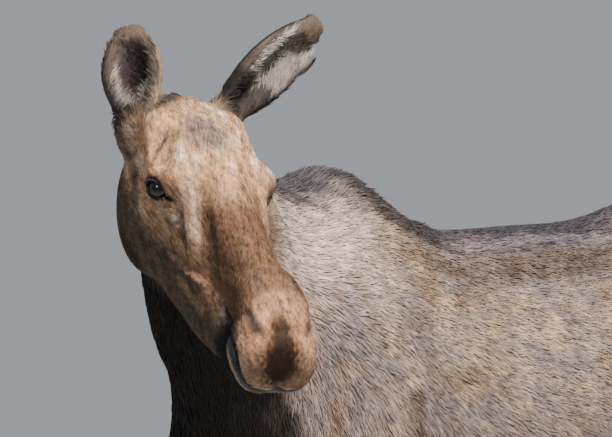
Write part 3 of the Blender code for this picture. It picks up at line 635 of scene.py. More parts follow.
def add_folds(field):
    """Temples, hollows behind the poll and over the eyes, the folds of the cheeks, ridge and groove beside
    the nose, nostril dents, the notch of the upper lip, the tip of the nose and the mouth."""
    head_pair(field, (0.06, 0.068, -0.045), (0.045, 0.026, 0.035), 0.03)
    head_blob(field, (0.0, 0.03, 0.052), (0.08, 0.075, 0.04), 0.02, cut=True)
    head_pair(field, (0.148, 0.104, -0.004), (0.06, 0.03, 0.045), 0.024, yaw=18, cut=True)
    head_pair(field, (0.318, 0.074, -0.172), (0.085, 0.0075, 0.0055), 0.012, yaw=-4, pitch=-12)
    head_pair(field, (0.298, 0.067, -0.096), (0.066, 0.011, 0.01), 0.022, yaw=-4, pitch=43)
    head_pair(field, (0.35, 0.062, -0.082), (0.08, 0.01, 0.011), 0.022, yaw=-4, pitch=40, cut=True)
    head_pair(field, (0.605, 0.058, -0.092), (0.024, 0.009, 0.006), 0.012, yaw=-26, pitch=22, cut=True)
    head_blob(field, (0.668, 0, -0.212), (0.014, 0.005, 0.02), 0.012, cut=True)
    head_blob(field, (0.606, 0, -0.108), (0.027, 0.055, 0.034), 0.02)

    def mouth(points):
        """Distance to the line of the mouth, which ends short of the cheek."""
        at = in_head(points)
        off = np.abs(at[:, 2] - curve(at[:, 0], *MOUTH_LINE.T))
        return np.maximum(off - 0.003, MOUTH_LINE[0, 0] - at[:, 0])

    middle = on_head((0.59, 0, -0.19))
    field.cut(mouth, middle - 0.14, middle + 0.14, 0.006, depth=0.01)


def add_ear_notch(field):
    """The notch in the lower edge of her left ear, and the lobe before it."""
    root, length, axes = ear_frame("left")
    lobe = root + (0.72 * length, -0.044, 0.002) @ axes
    notch = root + (0.835 * length, -0.048, 0.006) @ axes
    field.add_blob(lobe, (0.028, 0.013, 0.01), 0.012, axes)
    field.add_blob(notch, (0.012, 0.028, 0.035), 0.008, axes, cut=True)


def add_back_line(field):
    """A fuller back between hump and hips, and a steeper fall behind the hump."""
    field.add_blob((0.0, 0, 1.587), (0.4, 0.13, 0.064), 0.036)
    field.add_blob((-0.522, 0, 1.717), (0.085, 0.09, 0.074), 0.026)
    fall = np.array(((0.87, 0, -0.49), (0, 1, 0), (0.49, 0, 0.87)))
    field.add_blob(np.array((-0.348, 0, 1.731)) + 0.067 * fall[2], (0.13, 0.25, 0.1), 0.02, fall, cut=True)


def skin(points):
    """Distance to the skin: the coat's outside brought in by its depth, with folds, lids and nostrils."""
    field = Field(points)
    for add in (add_trunk, add_neck, add_tail, add_legs, add_head, add_ears):
        add(field)
    field.value += coat_depth(points)
    for add in (add_back_line, add_folds, add_ear_notch, add_lids):
        add(field)
    return np.maximum(field.value, CORONET_Z + 0.0006 - points[:, 2])


def hooves(points):
    """Distance to the claws of all four feet: the legs' ends under the coronet, cut flat and cloven."""
    field = Field(points)
    add_legs(field)
    cleft = np.full(len(points), -1.0)
    for leg, y in FOOT_Y.items():
        near = np.abs(points[:, 0] - FOOT_X[leg]) + np.abs(points[:, 1] - y) < 0.14
        cleft = np.where(near, CLEFT_WIDTH / 2 - np.abs(points[:, 1] - y), cleft)
    return np.max((field.value, points[:, 2] - CORONET_Z, -points[:, 2], cleft), axis=0)


# ---------------------------------------------------------------- markings

FOREHEAD = (0.415, 0.236, 0.132)
NOSE = (0.118, 0.06, 0.033)
GOLD = (0.3, 0.18, 0.09)
PALE_AND_HIGHLIGHT = (0.6, 0.43, 0.31)
MUZZLE = (0.35, 0.18, 0.1)
MUZZLE_LOW = (0.19, 0.122, 0.082)
# dark brown of the cheeks, made darker than their hair to carry painted shade; also used for painted shade in
# folds and hollows
DARK_BROWN_AND_SHADE = (0.07, 0.047, 0.03)
GROOVE_SHADE = (0.11, 0.062, 0.034)
LIT_RIDGE = (0.54, 0.37, 0.255)
GREY_PATCH = (0.125, 0.09, 0.08)
NOSE_PATCH = (0.019, 0.009, 0.004)
LIP = (0.014, 0.015, 0.019)
LIP_RIM = (0.3, 0.22, 0.16)
# near-black chin: painted shadow under the lower lip
CHIN_SHADOW = (0.008, 0.006, 0.005)
EYE_RIM = (0.018, 0.012, 0.01)
NOSTRIL_AND_SHADE = (0.06, 0.042, 0.034)
# near-black throat: dark hair with the head's shadow painted on
THROAT_AND_HEAD_SHADOW = (0.007, 0.005, 0.004)
SHOULDER = (0.46, 0.352, 0.292)
SHADE = (0.135, 0.107, 0.108)
HUMP = (0.056, 0.048, 0.052)
CREST = (0.035, 0.031, 0.034)
BACK = (0.052, 0.045, 0.054)
FLANK = (0.3, 0.218, 0.178)
BROWN = (0.19, 0.125, 0.082)
TAN = (0.42, 0.29, 0.19)
BLUE_GREY_SHEEN_AND_SHADE = (0.18, 0.157, 0.168)
SOOT = (0.052, 0.041, 0.038)
UMBER = (0.11, 0.074, 0.056)
BELLY = (0.09, 0.066, 0.052)
LEG = (0.27, 0.235, 0.205)
LEG_FRONT = (0.11, 0.085, 0.07)
EAR_BACK = (0.018, 0.013, 0.011)
EAR_INSIDE = (0.185, 0.162, 0.138)
EAR_RIM = (0.058, 0.042, 0.033)
EAR_TAN = (0.25, 0.165, 0.1)
EAR_TIP = (0.088, 0.062, 0.048)
EAR_GREY = (0.11, 0.098, 0.085)
EAR_HAIR = (0.34, 0.31, 0.27)
EAR_HOLLOW_SHADE = (0.013, 0.008, 0.007)


def ripple(points, size, seed):
    """Smooth waves of about the given size, between -1 and 1: a sum of sines in fixed odd directions."""
    chance = np.random.default_rng(seed)
    ways = chance.normal(size=(6, 3))
    ways *= 2 * np.pi / size * chance.uniform(0.7, 1.4, (6, 1)) / np.linalg.norm(ways, axis=1)[:, None]
    return np.sin(points @ ways.T + chance.uniform(0, 6.28, 6)).sum(1) / 3.5


def mix(colour, other, share):
    """The colour, moved towards the other one by the share."""
    return colour + (np.asarray(other) - colour) * share[:, None]


def spot(at, centre, reach, soft=0.5, pitch=0.0):
    """1 inside a turned ellipsoid and falling to 0 outside it over the soft share of its size."""
    axes = turned(pitch=pitch)
    radius = np.sqrt((((at - np.asarray(centre)) @ axes.T / reach) ** 2).sum(1))
    return rise(radius, 1 + soft / 2, 1 - soft / 2)


def stroke(at, start, end, wide):
    """1 on the line from start to end, falling to 0 at the given distance from it."""
    start, end = np.asarray(start), np.asarray(end)
    share = np.clip((at - start) @ (end - start) / ((end - start) @ (end - start)), 0, 1)
    return rise(np.linalg.norm(at - start - share[:, None] * (end - start), axis=1), wide, 0.25 * wide)


def one_side(at):
    """Places on both sides, brought to the side where the second number is below zero."""
    return np.stack((at[:, 0], -np.abs(at[:, 1]), at[:, 2]), 1)


def face_colours(points, at):
    """Pale forehead and muzzle, brown nose, dark cheeks with painted shade, painted shade in folds and
    grooves, painted highlights on ridges, and fine strands.
    """
    along, side, up = at.T
    half = one_side(at)
    c = np.tile(FOREHEAD, (len(points), 1))
    c = mix(c, GOLD, 0.8 * np.maximum(spot(half, (0.01, -0.088, -0.03), (0.05, 0.05, 0.05), 0.9),
                                       rise(ripple(points, 0.05, 51), 0.1, 1.0)))
    # pale streaks on the forehead: pale hair with painted sheen
    c = mix(c, PALE_AND_HIGHLIGHT, 0.8 * rise(ripple(at * (1, 1.6, 1), 0.06, 52), 0.15, 0.9) * rise(along, 0.3, 0.2))
    c = mix(c, NOSE, rise(along + 0.8 * np.abs(side), 0.24, 0.38))
    c = mix(c, MUZZLE, rise(along - 0.4 * np.abs(side), 0.545, 0.585))
    c = mix(c, MUZZLE_LOW, 0.75 * rise(up, -0.105, -0.16) * rise(along, 0.56, 0.62))
    c = mix(c, GREY_PATCH, 0.9 * spot(at, (0.128, -0.008, 0.008), (0.058, 0.044, 0.05), 1.1))
    # low cheeks darkened: dark hair there, deepened with painted shade
    edge = curve(along, (0.1, 0.2, 0.3, 0.4, 0.5), (0.11, 0.132, 0.14, 0.14, 0.122))
    low = rise(-up - edge, 0.0, 0.055) * rise(along, 0.6, 0.5)
    c = mix(c, DARK_BROWN_AND_SHADE, np.maximum(low, rise(along, 0.06, -0.02) * rise(np.abs(side), 0.05, 0.08)))
    # painted shade in the groove beside the nose
    c = mix(c, GROOVE_SHADE, 0.85 * spot(half, (0.35, -0.054, -0.082), (0.085, 0.022, 0.015), 0.9, 40))
    c = mix(c, LIT_RIDGE, 0.38 * stroke(at, (0.262, -0.076, -0.05), (0.314, -0.074, -0.09), 0.032))
    c = mix(c, LIT_RIDGE, 0.15 * stroke(at, (0.314, -0.073, -0.09), (0.345, -0.075, -0.122), 0.026))
    # painted highlights in the forehead's colour: along the ridge beside the nose on her left side, and along
    # the top of each cheek's ridge
    c = mix(c, FOREHEAD, 0.5 * stroke(at, (0.262, 0.073, -0.05), (0.314, 0.07, -0.09), 0.019))
    c = mix(c, FOREHEAD, 0.35 * spot(half, (0.318, -0.074, -0.165), (0.085, 0.02, 0.006), 0.9, -12))
    for kind, start, end, wide, share in HEAD_STROKES:
        c = mix(c, kind, share * stroke(half, start, end, wide))
    c = mix(c, DARK_BROWN_AND_SHADE, 0.9 * stroke(at, (0.192, 0.118, -0.058), (0.275, 0.104, -0.108), 0.009))
    strands = 0.32 * ripple(at * (0.35, 1, 1), 0.0075, 61) + 0.24 * ripple(at * (0.4, 1, 1), 0.015, 62)
    strands += 0.42 * ripple(at * (0.3, 1, 1), 0.0045, 64)
    patches = 0.12 * ripple(points, 0.02, 53)
    return c * (1 + strands + patches + 0.1 * ripple(points, 0.036, 54))[:, None].clip(0.3)


def nose_colours(c, at):
    """Nostrils darkened by their own skin and painted shade, the dark patch between them, the lips, the
    hair's pale edge under the mouth, and a painted shadow on the chin.
    """
    along, _, up = at.T
    half = one_side(at)
    # nostril dents darkened: their own skin and painted shade
    c = mix(c, NOSTRIL_AND_SHADE, 0.75 * spot(half, (0.607, -0.056, -0.093), (0.028, 0.022, 0.01), 0.9, 22))
    c = mix(c, NOSE, 0.8 * spot(half, (0.5, -0.06, -0.125), (0.055, 0.03, 0.03), 0.9))
    fuzzy = at + 0.006 * ripple(at * (0.35, 1, 1), 0.01, 63)[:, None]
    c = mix(c, NOSE_PATCH, 0.9 * spot(fuzzy, (0.632, -0.006, -0.1), (0.05, 0.02, 0.036), 1.0))
    c = mix(c, NOSE_PATCH, spot(fuzzy, (0.662, -0.008, -0.143), (0.055, 0.036, 0.05), 0.9))
    rim = curve(along, *LIP_LINE.T)
    under = rise(up - curve(along, *MOUTH_LINE.T), 0.003, -0.002) * rise(along, 0.48, 0.53)
    c = mix(c, LIP, under)
    # painted shadow on the chin, below the lower lip's rim
    c = mix(c, CHIN_SHADOW, under * rise(up - rim, -0.002, -0.008) * rise(along, 0.46, 0.53))
    return mix(c, LIP_RIM, under * rise(np.abs(up - rim + 0.003), 0.0065, 0.003) * rise(along, 0.56, 0.6))


def eye_colours(c, points):
    """Dark rims, inner and outer corners of the eyes, and a brown line under each."""
    for side in (-1, 1):
        place = eye_place(points, side)
        ring = np.hypot(place[:, 0] / 1.35, place[:, 2])
        c = mix(c, EYE_RIM, rise(ring, 0.024, 0.02) * rise(np.abs(place[:, 1] - 0.03), 0.03, 0.022))
        c = mix(c, EYE_RIM, 0.95 * spot(place, (0.03, 0.014, -0.001), (0.021, 0.016, 0.0075), 0.6))
        c = mix(c, EYE_RIM, 0.9 * spot(place, (-0.03, 0.01, 0.001), (0.02, 0.018, 0.006), 0.9))
        c = mix(c, BROWN, 0.7 * spot(place, (0.004, 0.01, -0.043), (0.045, 0.03, 0.008), 0.9))
    return c


def head_markings(points, colour):
    """The colour given, with the head's own in its place on the head."""
    at = in_head(points)
    c = nose_colours(face_colours(points, at), at)
    return mix(colour, eye_colours(c, points), head_share(points))


def lip_share(points):
    """1 on the bare band between the mouth line and the hair of the lower lip."""
    along, _, up = in_head(points).T
    under = head_share(points) * rise(up - curve(along, *MOUTH_LINE.T), 0.002, -0.002)
    return under * rise(up - curve(along, *LIP_LINE.T), 0.001, 0.005) * rise(along, 0.5, 0.54)


# on both sides of the head: colour, start and end of a line, half width, strength. Many lines are painted
# shade in folds and hollows, and some are painted highlights on ridges
HEAD_STROKES = [
    # painted shade in the hollow over each eye
    (DARK_BROWN_AND_SHADE, (0.107, -0.074, -0.027), (0.12, -0.089, -0.041), 0.008, 0.95),
    (DARK_BROWN_AND_SHADE, (0.12, -0.089, -0.041), (0.149, -0.11, -0.057), 0.007, 0.75),
    (GOLD, (0.2, -0.1, -0.122), (0.243, -0.09, -0.099), 0.011, 0.75),
    # painted highlight on the fold under each eye
    (PALE_AND_HIGHLIGHT, (0.205, -0.1, -0.112), (0.262, -0.088, -0.104), 0.02, 0.6),
    # painted shade in the fold under each eye
    (DARK_BROWN_AND_SHADE, (0.173, -0.102, -0.14), (0.225, -0.09, -0.128), 0.008, 0.6),
    (DARK_BROWN_AND_SHADE, (0.225, -0.09, -0.128), (0.262, -0.079, -0.108), 0.008, 0.6),
    (DARK_BROWN_AND_SHADE, (0.262, -0.079, -0.108), (0.263, -0.079, -0.088), 0.006, 0.6),
    (GOLD, (0.222, -0.08, -0.149), (0.34, -0.073, -0.136), 0.021, 0.75),
    # painted shade under the ridge along each cheek
    (DARK_BROWN_AND_SHADE, (0.214, -0.093, -0.184), (0.272, -0.085, -0.183), 0.008, 0.7),
    (DARK_BROWN_AND_SHADE, (0.272, -0.085, -0.183), (0.341, -0.081, -0.17), 0.008, 0.8),
    (DARK_BROWN_AND_SHADE, (0.341, -0.081, -0.17), (0.397, -0.073, -0.157), 0.008, 0.85),
    (GOLD, (0.31, -0.08, -0.197), (0.43, -0.07, -0.185), 0.016, 0.45),
    # painted shade in the groove beside the nose and on down the nose
    (GROOVE_SHADE, (0.321, -0.053, -0.077), (0.372, -0.06, -0.122), 0.018, 0.8),
    (GROOVE_SHADE, (0.395, -0.028, -0.035), (0.44, -0.03, -0.05), 0.02, 0.8),
    (GROOVE_SHADE, (0.44, -0.03, -0.05), (0.5, -0.028, -0.049), 0.022, 0.85),
    (GROOVE_SHADE, (0.5, -0.028, -0.049), (0.56, -0.036, -0.052), 0.023, 0.8),
    (DARK_BROWN_AND_SHADE, (0.525, -0.034, -0.048), (0.556, -0.04, -0.051), 0.019, 0.5),
    # painted shade in the fold at each corner of the mouth
    (DARK_BROWN_AND_SHADE, (0.474, -0.05, -0.15), (0.52, -0.058, -0.12), 0.017, 0.55),
    (GOLD, (0.42, -0.06, -0.11), (0.5, -0.05, -0.085), 0.02, 0.45),
    # painted shade in the fold above the mouth line on each side
    (DARK_BROWN_AND_SHADE, (0.555, -0.068, -0.128), (0.6, -0.076, -0.132), 0.01, 0.7),
    # painted highlight on each nostril's wing
    (PALE_AND_HIGHLIGHT, (0.585, -0.072, -0.112), (0.612, -0.074, -0.126), 0.01, 0.3),
    # painted shade in the dimple over each nostril
    (DARK_BROWN_AND_SHADE, (0.588, -0.06, -0.084), (0.622, -0.05, -0.102), 0.0095, 0.9),
    (LIP_RIM, (0.61, -0.078, -0.145), (0.635, -0.074, -0.165), 0.006, 0.6),
    (DARK_BROWN_AND_SHADE, (0.026, -0.103, -0.108), (0.092, -0.109, -0.116), 0.017, 0.8),
    (DARK_BROWN_AND_SHADE, (0.092, -0.109, -0.116), (0.133, -0.114, -0.146), 0.018, 0.85),
    (NOSE_PATCH, (0.118, -0.115, -0.24), (0.17, -0.103, -0.252), 0.034, 0.8),
    (GREY_PATCH, (0.474, -0.048, -0.153), (0.561, -0.066, -0.149), 0.018, 0.85),
]
# on her sides: colour, start and end of a line, half width, strength. The upright lines at the front are
# painted shade in creases, and two lines along the back are a painted bluish sheen
BODY_STROKES = [
    # painted shade in the creases before and behind the shoulder and at the elbow
    (BLUE_GREY_SHEEN_AND_SHADE, (-0.725, -0.2, 1.54), (-0.722, -0.198, 1.33), 0.016, 0.55),
    (BROWN, (-0.712, -0.206, 1.4), (-0.712, -0.203, 1.2), 0.026, 0.85),
    (UMBER, (-0.544, -0.258, 1.385), (-0.52, -0.262, 1.22), 0.045, 0.75),
    (BLUE_GREY_SHEEN_AND_SHADE, (-0.69, -0.212, 1.59), (-0.675, -0.212, 1.48), 0.03, 0.55),
    (SHADE, (-0.47, -0.215, 1.54), (-0.487, -0.247, 1.34), 0.06, 0.45),
    (UMBER, (-0.38, -0.155, 1.628), (-0.1, -0.125, 1.592), 0.04, 0.55),
    (UMBER, (-0.1, -0.125, 1.592), (0.3, -0.13, 1.6), 0.045, 0.65),
    # painted bluish sheen along the back
    (BLUE_GREY_SHEEN_AND_SHADE, (-0.275, -0.1, 1.65), (0.02, -0.08, 1.636), 0.028, 0.6),
    (BLUE_GREY_SHEEN_AND_SHADE, (0.02, -0.08, 1.636), (0.234, -0.09, 1.638), 0.028, 0.6),
    (SOOT, (-0.48, -0.06, 1.755), (-0.42, -0.1, 1.708), 0.065, 0.9),
    (SOOT, (-0.42, -0.1, 1.708), (-0.3, -0.085, 1.655), 0.05, 0.85),
]

# for each ear: colour, place along it and across it as shares of its length and width, half sizes, strength
# the dark in each ear's hollow is painted shade
EAR_SPOTS = {
    "left": [(EAR_INSIDE, 0.62, -0.1, 0.48, 0.95, 1.0), (EAR_HOLLOW_SHADE, 0.46, -0.06, 0.13, 0.14, 0.8),
             (EAR_HAIR, 0.56, 0.72, 0.34, 0.15, 1.0), (EAR_HAIR, 0.37, 0.25, 0.05, 0.4, 1.0),
             (EAR_BACK, 0.1, 0.5, 0.27, 0.85, 1.0), (EAR_BACK, 0.24, -0.55, 0.14, 0.35, 0.9),
             (EAR_HAIR, 0.74, -0.8, 0.1, 0.24, 0.6), (EAR_TAN, 0.66, 1.04, 0.26, 0.1, 0.9),
             (EAR_TIP, 0.97, 0.0, 0.2, 1.3, 1.0)],
    "right": [(EAR_RIM, 0.5, 0.85, 0.55, 0.4, 1.0), (EAR_HAIR, 0.4, 0.58, 0.22, 0.12, 0.5),
              (EAR_HOLLOW_SHADE, 0.58, -0.06, 0.32, 0.56, 1.0), (EAR_HAIR, 0.3, -0.42, 0.1, 0.22, 0.8),
              (EAR_GREY, 0.22, 0.45, 0.12, 0.4, 0.8), (EAR_TAN, 0.5, -1.04, 0.45, 0.09, 0.8),
              (EAR_TIP, 0.93, 0.1, 0.17, 1.3, 1.0), (EAR_BACK, -0.02, 0.8, 0.14, 0.8, 1.0)],
}


def ear_markings(points, colour, normals):
    """Dark back, and the pale hairs, hollow darkened with painted shade, rim and tip of each ear's front."""
    stations, widths, _ = np.array(EAR_ROWS).T
    for name in EARS:
        place = ear_place(points, name)
        along, across, _ = place
        width = curve(along, stations, widths)
        c = np.tile(EAR_RIM, (len(points), 1))
        for kind, far, off, reach, wide, share in EAR_SPOTS[name]:
            radius = np.hypot((along - far) / reach, (across / width - off) / wide)
            c = mix(c, kind, share * rise(radius, 1.15, 0.75))
        c = mix(np.tile(EAR_BACK, (len(points), 1)), c, rise(ear_facing(normals, name), -0.35, -0.05))
        colour = mix(colour, c, over_ear(place, (-0.06, 0.08)))
    return colour


def ear_inside(points, normals):
    """1 in the hollows of the ears."""
    inside = np.zeros(len(points))
    for name in EARS:
        here = over_ear(ear_place(points, name), (0.05, 0.2), (0.92, 0.8), (0.06, 0.045))
        inside = np.maximum(inside, here * rise(ear_facing(normals, name), 0.2, 0.6))
    return inside


# x, and how far below the ridge the dark band along the top of her back reaches
CREST_BAND = np.array([(-0.75, 0.07), (-0.6, 0.085), (-0.5, 0.112), (-0.43, 0.112), (-0.33, 0.075),
                       (-0.2, 0.062)])


def markings(points, normals):
    """Colour of the coat at places on the body: the same for the skin and for the hair that grows from it. It
    holds painted shade on the lower flank, in creases and on the throat under the head, and a painted bluish
    sheen along the back.
    """
    x, _, z = points.T
    wave = ripple(points, 0.22, 5)
    c = np.tile(FLANK, (len(points), 1))
    drawn = points @ np.array(((0.8, 0, 0.45), (0, 1, 0), (-0.35, 0, 1.3)))
    c = mix(c, BROWN, 0.8 * rise(ripple(points * (0.7, 1, 1.6), 0.26, 8), 0.0, 0.9))
    c = mix(c, TAN, 0.8 * rise(ripple(drawn, 0.085, 41) + 0.6 * ripple(drawn, 0.035, 42), 0.15, 1.0))
    # bluish-grey patches: grey hair with painted sheen
    c = mix(c, BLUE_GREY_SHEEN_AND_SHADE, 0.6 * rise(ripple(drawn, 0.1, 43) + 0.6 * ripple(drawn, 0.04, 44), 0.25, 1.1))
    c = mix(c, SHOULDER, 0.9 * spot(points, (-0.72, 0, 1.68), (0.2, 0.35, 0.16), 1.0))
    c = mix(c, BELLY, rise(z, 1.12, 0.96))
    c = mix(c, SHADE, 0.75 * rise(z + 0.02 * wave, 1.44, 1.22))
    c = mix(c, SHADE, 0.5 * spot(points, (-0.74, 0, 1.42), (0.16, 0.4, 0.17), 0.9))
    c = mix(c, SHADE, 0.7 * rise(below_ridge(points) + 0.015 * wave, 0.15, 0.06) * rise(x, -0.42, -0.22))
    # painted shadow of the head on the throat and chest, over the dark hair there
    c = mix(c, THROAT_AND_HEAD_SHADOW, rise(x + 0.35 * (z - 1.5) + 0.015 * ripple(points, 0.06, 48), -0.775, -0.875))
    band = curve(x, *CREST_BAND.T)
    top = rise(below_ridge(points) + 0.012 * ripple(points, 0.05, 47), band, 0.15 * band)
    dark = mix(np.tile(HUMP, (len(points), 1)), CREST, rise(x, -0.54, -0.46))
    dark = mix(dark, BACK, rise(x, -0.36, -0.22))
    c = mix(c, dark, top * rise(x, -0.96, -0.86))
    both = one_side(points)
    for kind, start, end, wide, share in BODY_STROKES:
        c = mix(c, kind, share * stroke(both, start, end, wide * (1 + 0.3 * ripple(points, 0.05, 45))))
    c = c * (1 + 0.24 * ripple(drawn * (0.6, 1, 1.4), 0.022, 46))[:, None].clip(0.4)
    leg = rise(z, 0.9, 0.72)
    c = mix(c, mix(np.tile(LEG, (len(points), 1)), LEG_FRONT, rise(z, 0.5, 0.8)), leg)
    return ear_markings(points, head_markings(points, c), normals)


# ---------------------------------------------------------------- lie of the coat

# x and height of places on her side, and the way that the hair lies there: 0 to the rear, -90 down, 90 up
LIE = [
    (-1.05, 1.95, -50), (-0.95, 1.88, -48), (-0.85, 1.78, -42), (-0.98, 1.68, -78), (-0.9, 1.55, -82),
    (-0.84, 1.4, -80), (-0.78, 1.25, -85), (-0.76, 1.68, -30), (-0.74, 1.79, 20), (-0.66, 1.8, 38),
    (-0.58, 1.8, 26), (-0.5, 1.79, 2), (-0.42, 1.75, -16), (-0.28, 1.68, -18), (-0.1, 1.64, -12),
    (0.15, 1.63, -8), (0.4, 1.66, -12), (0.62, 1.62, -38), (0.78, 1.48, -70), (-0.66, 1.64, -4),
    (-0.52, 1.62, -16), (-0.34, 1.56, -22), (-0.66, 1.48, -42), (-0.5, 1.44, -34), (-0.3, 1.4, -30),
    (-0.05, 1.42, -24), (0.22, 1.42, -22), (0.45, 1.42, -42), (0.64, 1.34, -70), (-0.66, 1.28, -66),
    (-0.48, 1.22, -60), (-0.26, 1.2, -36), (0.05, 1.2, -26), (0.32, 1.18, -40), (0.52, 1.15, -74),
    (-0.5, 1.02, -86), (-0.2, 0.98, -24), (0.1, 0.96, -20), (0.34, 1.0, -50), (0.5, 0.95, -86),
]
LIE_REACH = 0.075           # how far an entry of LIE carries


def lie(points, normals):
    """Unit way that the hair lies on the skin: on the body the mean of the nearby entries of LIE, on the legs
    downwards, on the head away from the lips and on the ears from root to tip."""
    table = np.array(LIE)
    gap = (points[:, None, 0] - table[:, 0]) ** 2 + (points[:, None, 2] - table[:, 1]) ** 2
    share = np.exp(-gap / (2 * LIE_REACH**2)) + 1e-9 / (gap + 0.01)
    angle = np.radians(table[:, 2])
    way = share @ np.stack((np.cos(angle), 0 * angle, np.sin(angle)), 1)
    way = mix(unit(way), (0.1, 0, -1), leg_share(points))
    at = in_head(points) - (0.71, 0, -0.26)
    back = at * (1, 0.55, 1) / np.linalg.norm(at, axis=1)[:, None]
    way = mix(way, unit(back @ HEAD_AXES), head_share(points))
    for side in EARS:
        place = ear_place(points, side)
        along, across, _ = place
        axes = ear_frame(side)[2]
        hollow = rise(ear_facing(normals, side), 0.1, 0.6) * rise(along, 0.85, 0.7)
        ear = axes[0] + 0.5 * np.sign(across)[:, None] * axes[1] * (1 - 2.4 * hollow)[:, None]
        way = mix(way, ear, over_ear(place, (-0.05, 0.2), (1.3, 1.18), (0.11, 0.085)))
    way += 0.1 * np.stack([ripple(points, 0.09, seed) for seed in (21, 22, 23)], 1)
    way -= normals * (way * normals).sum(1)[:, None]
    return way / np.maximum(np.linalg.norm(way, axis=1), 1e-9)[:, None]


# length of a tuft on each part, before what hair_length and chance add or take
HAIR = {"body": 0.031, "leg": 0.01, "head": 0.0088, "ear": 0.011}


def hair_length(points, normals):
    """Length of the tufts: longest on the throat, shorter down the legs and shortest on the face."""
    at = in_head(points)
    length = HAIR["body"] - 0.003 * crest_share(points) + 0.006 * rise(points[:, 0], -0.7, -0.85)
    length += (HAIR["leg"] + 0.009 * rise(points[:, 2], 0.45, 0.85) - length) * leg_share(points)
    face = HAIR["head"] + 0.002 * rise(at[:, 0], 0.1, -0.03) - 0.0024 * rise(at[:, 0], 0.48, 0.6)
    length += (face - length) * head_share(points)
    for side in EARS:
        place = ear_place(points, side)
        inside = rise(ear_facing(normals, side), 0.2, 0.6) * rise(place[0], 0.86, 0.74)
        length += (HAIR["ear"] + 0.007 * inside - length) * over_ear(place, (0.0, 0.2))
    return length


def hair_width(length):
    """Width of a tuft at its widest."""
    return 0.0008 + 0.032 * length


# share of the skin that the tufts cover, counted as if none overlapped
COVER = {"trunk": 1.45, "neck": 1.4, "head": 0.85, "ear": 1.3, "leg": 0.42, "tail": 1.6}


def regions(points):
    """Name of the region that each place belongs to."""
    region = np.full(len(points), "trunk", dtype="<U5")
    region[(points - NECK_START) @ neck_axes()[0] > 0.12] = "neck"
    region[np.linalg.norm((points - (0.82, 0, 1.41)) / (0.03, 0.036, 0.09), axis=1) < 1] = "tail"
    region[leg_share(points) > 0.5] = "leg"
    region[head_share(points) > 0.5] = "head"
    region[ear_share(points) > 0.5] = "ear"
    return region


def bare(points):
    """True where no tuft may grow: on the lids' rims, in nostrils and mouth, and below the coronets."""
    at = in_head(points)
    none = points[:, 2] < CORONET_Z + 0.004
    for side in (-1, 1):
        slit, out, up = eye_place(points, side).T
        opening = np.hypot(slit / 1.4, up) < 0.0185
        corner = (np.abs(slit - 0.03) < 0.016) & (np.abs(up + 0.003) < 0.005)
        none |= (opening | corner) & (np.abs(out - 0.025) < 0.025)
    none |= spot(one_side(at), (0.607, -0.06, -0.094), (0.018, 0.024, 0.005), 0.02, 17) > 0.5
    line = curve(at[:, 0], *MOUTH_LINE.T)
    none |= (np.abs(at[:, 2] - line) < 0.004) & (at[:, 0] > 0.49) & (head_share(points) > 0.5)
    return none | (lip_share(points) > 0.3)


def face_normals(verts, faces):
    """Way that each face looks, as long as twice the face's area."""
    a, b, c = (verts[faces[:, k]] for k in range(3))
    return np.cross(b - a, c - a)


def scatter(verts, faces, chance):
    """Roots on the skin: each face in turn gets its share of the total cover, so that they spread evenly."""
    a, b, c = (verts[faces[:, k]] for k in range(3))
    cross = face_normals(verts, faces)
    area = np.linalg.norm(cross, axis=1) / 2
    normals = cross / np.maximum(2 * area, 1e-12)[:, None]
    middle = (a + b + c) / 3
    length = hair_length(middle, normals)
    region = regions(middle)
    cover = np.array([COVER[name] for name in region])
    wanted = np.cumsum(area * cover / (length * hair_width(length) * 0.5))
    picks = np.arange(int(wanted[-1])) + chance.random(int(wanted[-1]))
    face = np.minimum(np.searchsorted(wanted, picks), len(faces) - 1)
    u, v = chance.random((2, len(face), 1))
    u, v = np.where(u + v > 1, 1 - u, u), np.where(u + v > 1, 1 - v, v)
    points = a[face] * (1 - u - v) + b[face] * u + c[face] * v
    keep = ~bare(points)
    return points[keep], normals[face][keep], region[face][keep]


def unwrap(points, normals):
    """Place of each root on an unwrap of the skin's own shape, each share from 0 to 1: the angle about the
    region's own axis, and the distance along that axis."""
    region = regions(points)
    at, neck = in_head(points), (points - NECK_START) @ neck_axes().T
    around = np.arctan2(points[:, 1], points[:, 2] - 1.25)
    along = (points[:, 0] + 0.9) / 1.85
    pick = region == "neck"
    around[pick], along[pick] = np.arctan2(neck[:, 1], neck[:, 2])[pick], (neck[:, 0] / 0.9 + 0.1)[pick]
    pick = region == "head"
    around[pick], along[pick] = np.arctan2(at[:, 1], at[:, 2] + 0.13)[pick], ((at[:, 0] + 0.1) / 0.82)[pick]
    around = around / (2 * np.pi) + 0.5
    for leg, x in FOOT_X.items():
        y = FOOT_Y[leg]
        pick = (region == "leg") & (np.sign(points[:, 1]) == np.sign(y)) & ((points[:, 0] > 0) == (x > 0.2))
        turn = np.arctan2(points[:, 1] - y, points[:, 0] - x - 0.04) / (2 * np.pi) + 0.5
        around[pick] = ((turn + (y > 0)) / 2)[pick]
        along[pick] = points[pick, 2]
    for k, side in enumerate(EARS):
        far, across, _ = ear_place(points, side)
        pick = (region == "ear") & (np.linalg.norm(points - ear_frame(side)[0], axis=1) < 0.32)
        inside = ear_facing(normals, side) > 0
        around[pick] = ((across / 0.15 + 0.5).clip(0, 1) + inside + 2 * k)[pick] / 4
        along[pick] = (far / 1.4 + 0.1)[pick]
    return np.stack((around, along), 1).clip(0, 1) * 0.98 + 0.01


PATCH = 0.003                 # size of one tuft on the unwrap
TUFT_FACES = np.array(((0, 2, 1), (3, 1, 2), (0, 1, 3), (0, 3, 2)))


def tuft_faces(count):
    """Faces of so many tufts of four points each."""
    return (np.arange(count)[:, None, None] * 4 + TUFT_FACES).reshape(-1, 3)


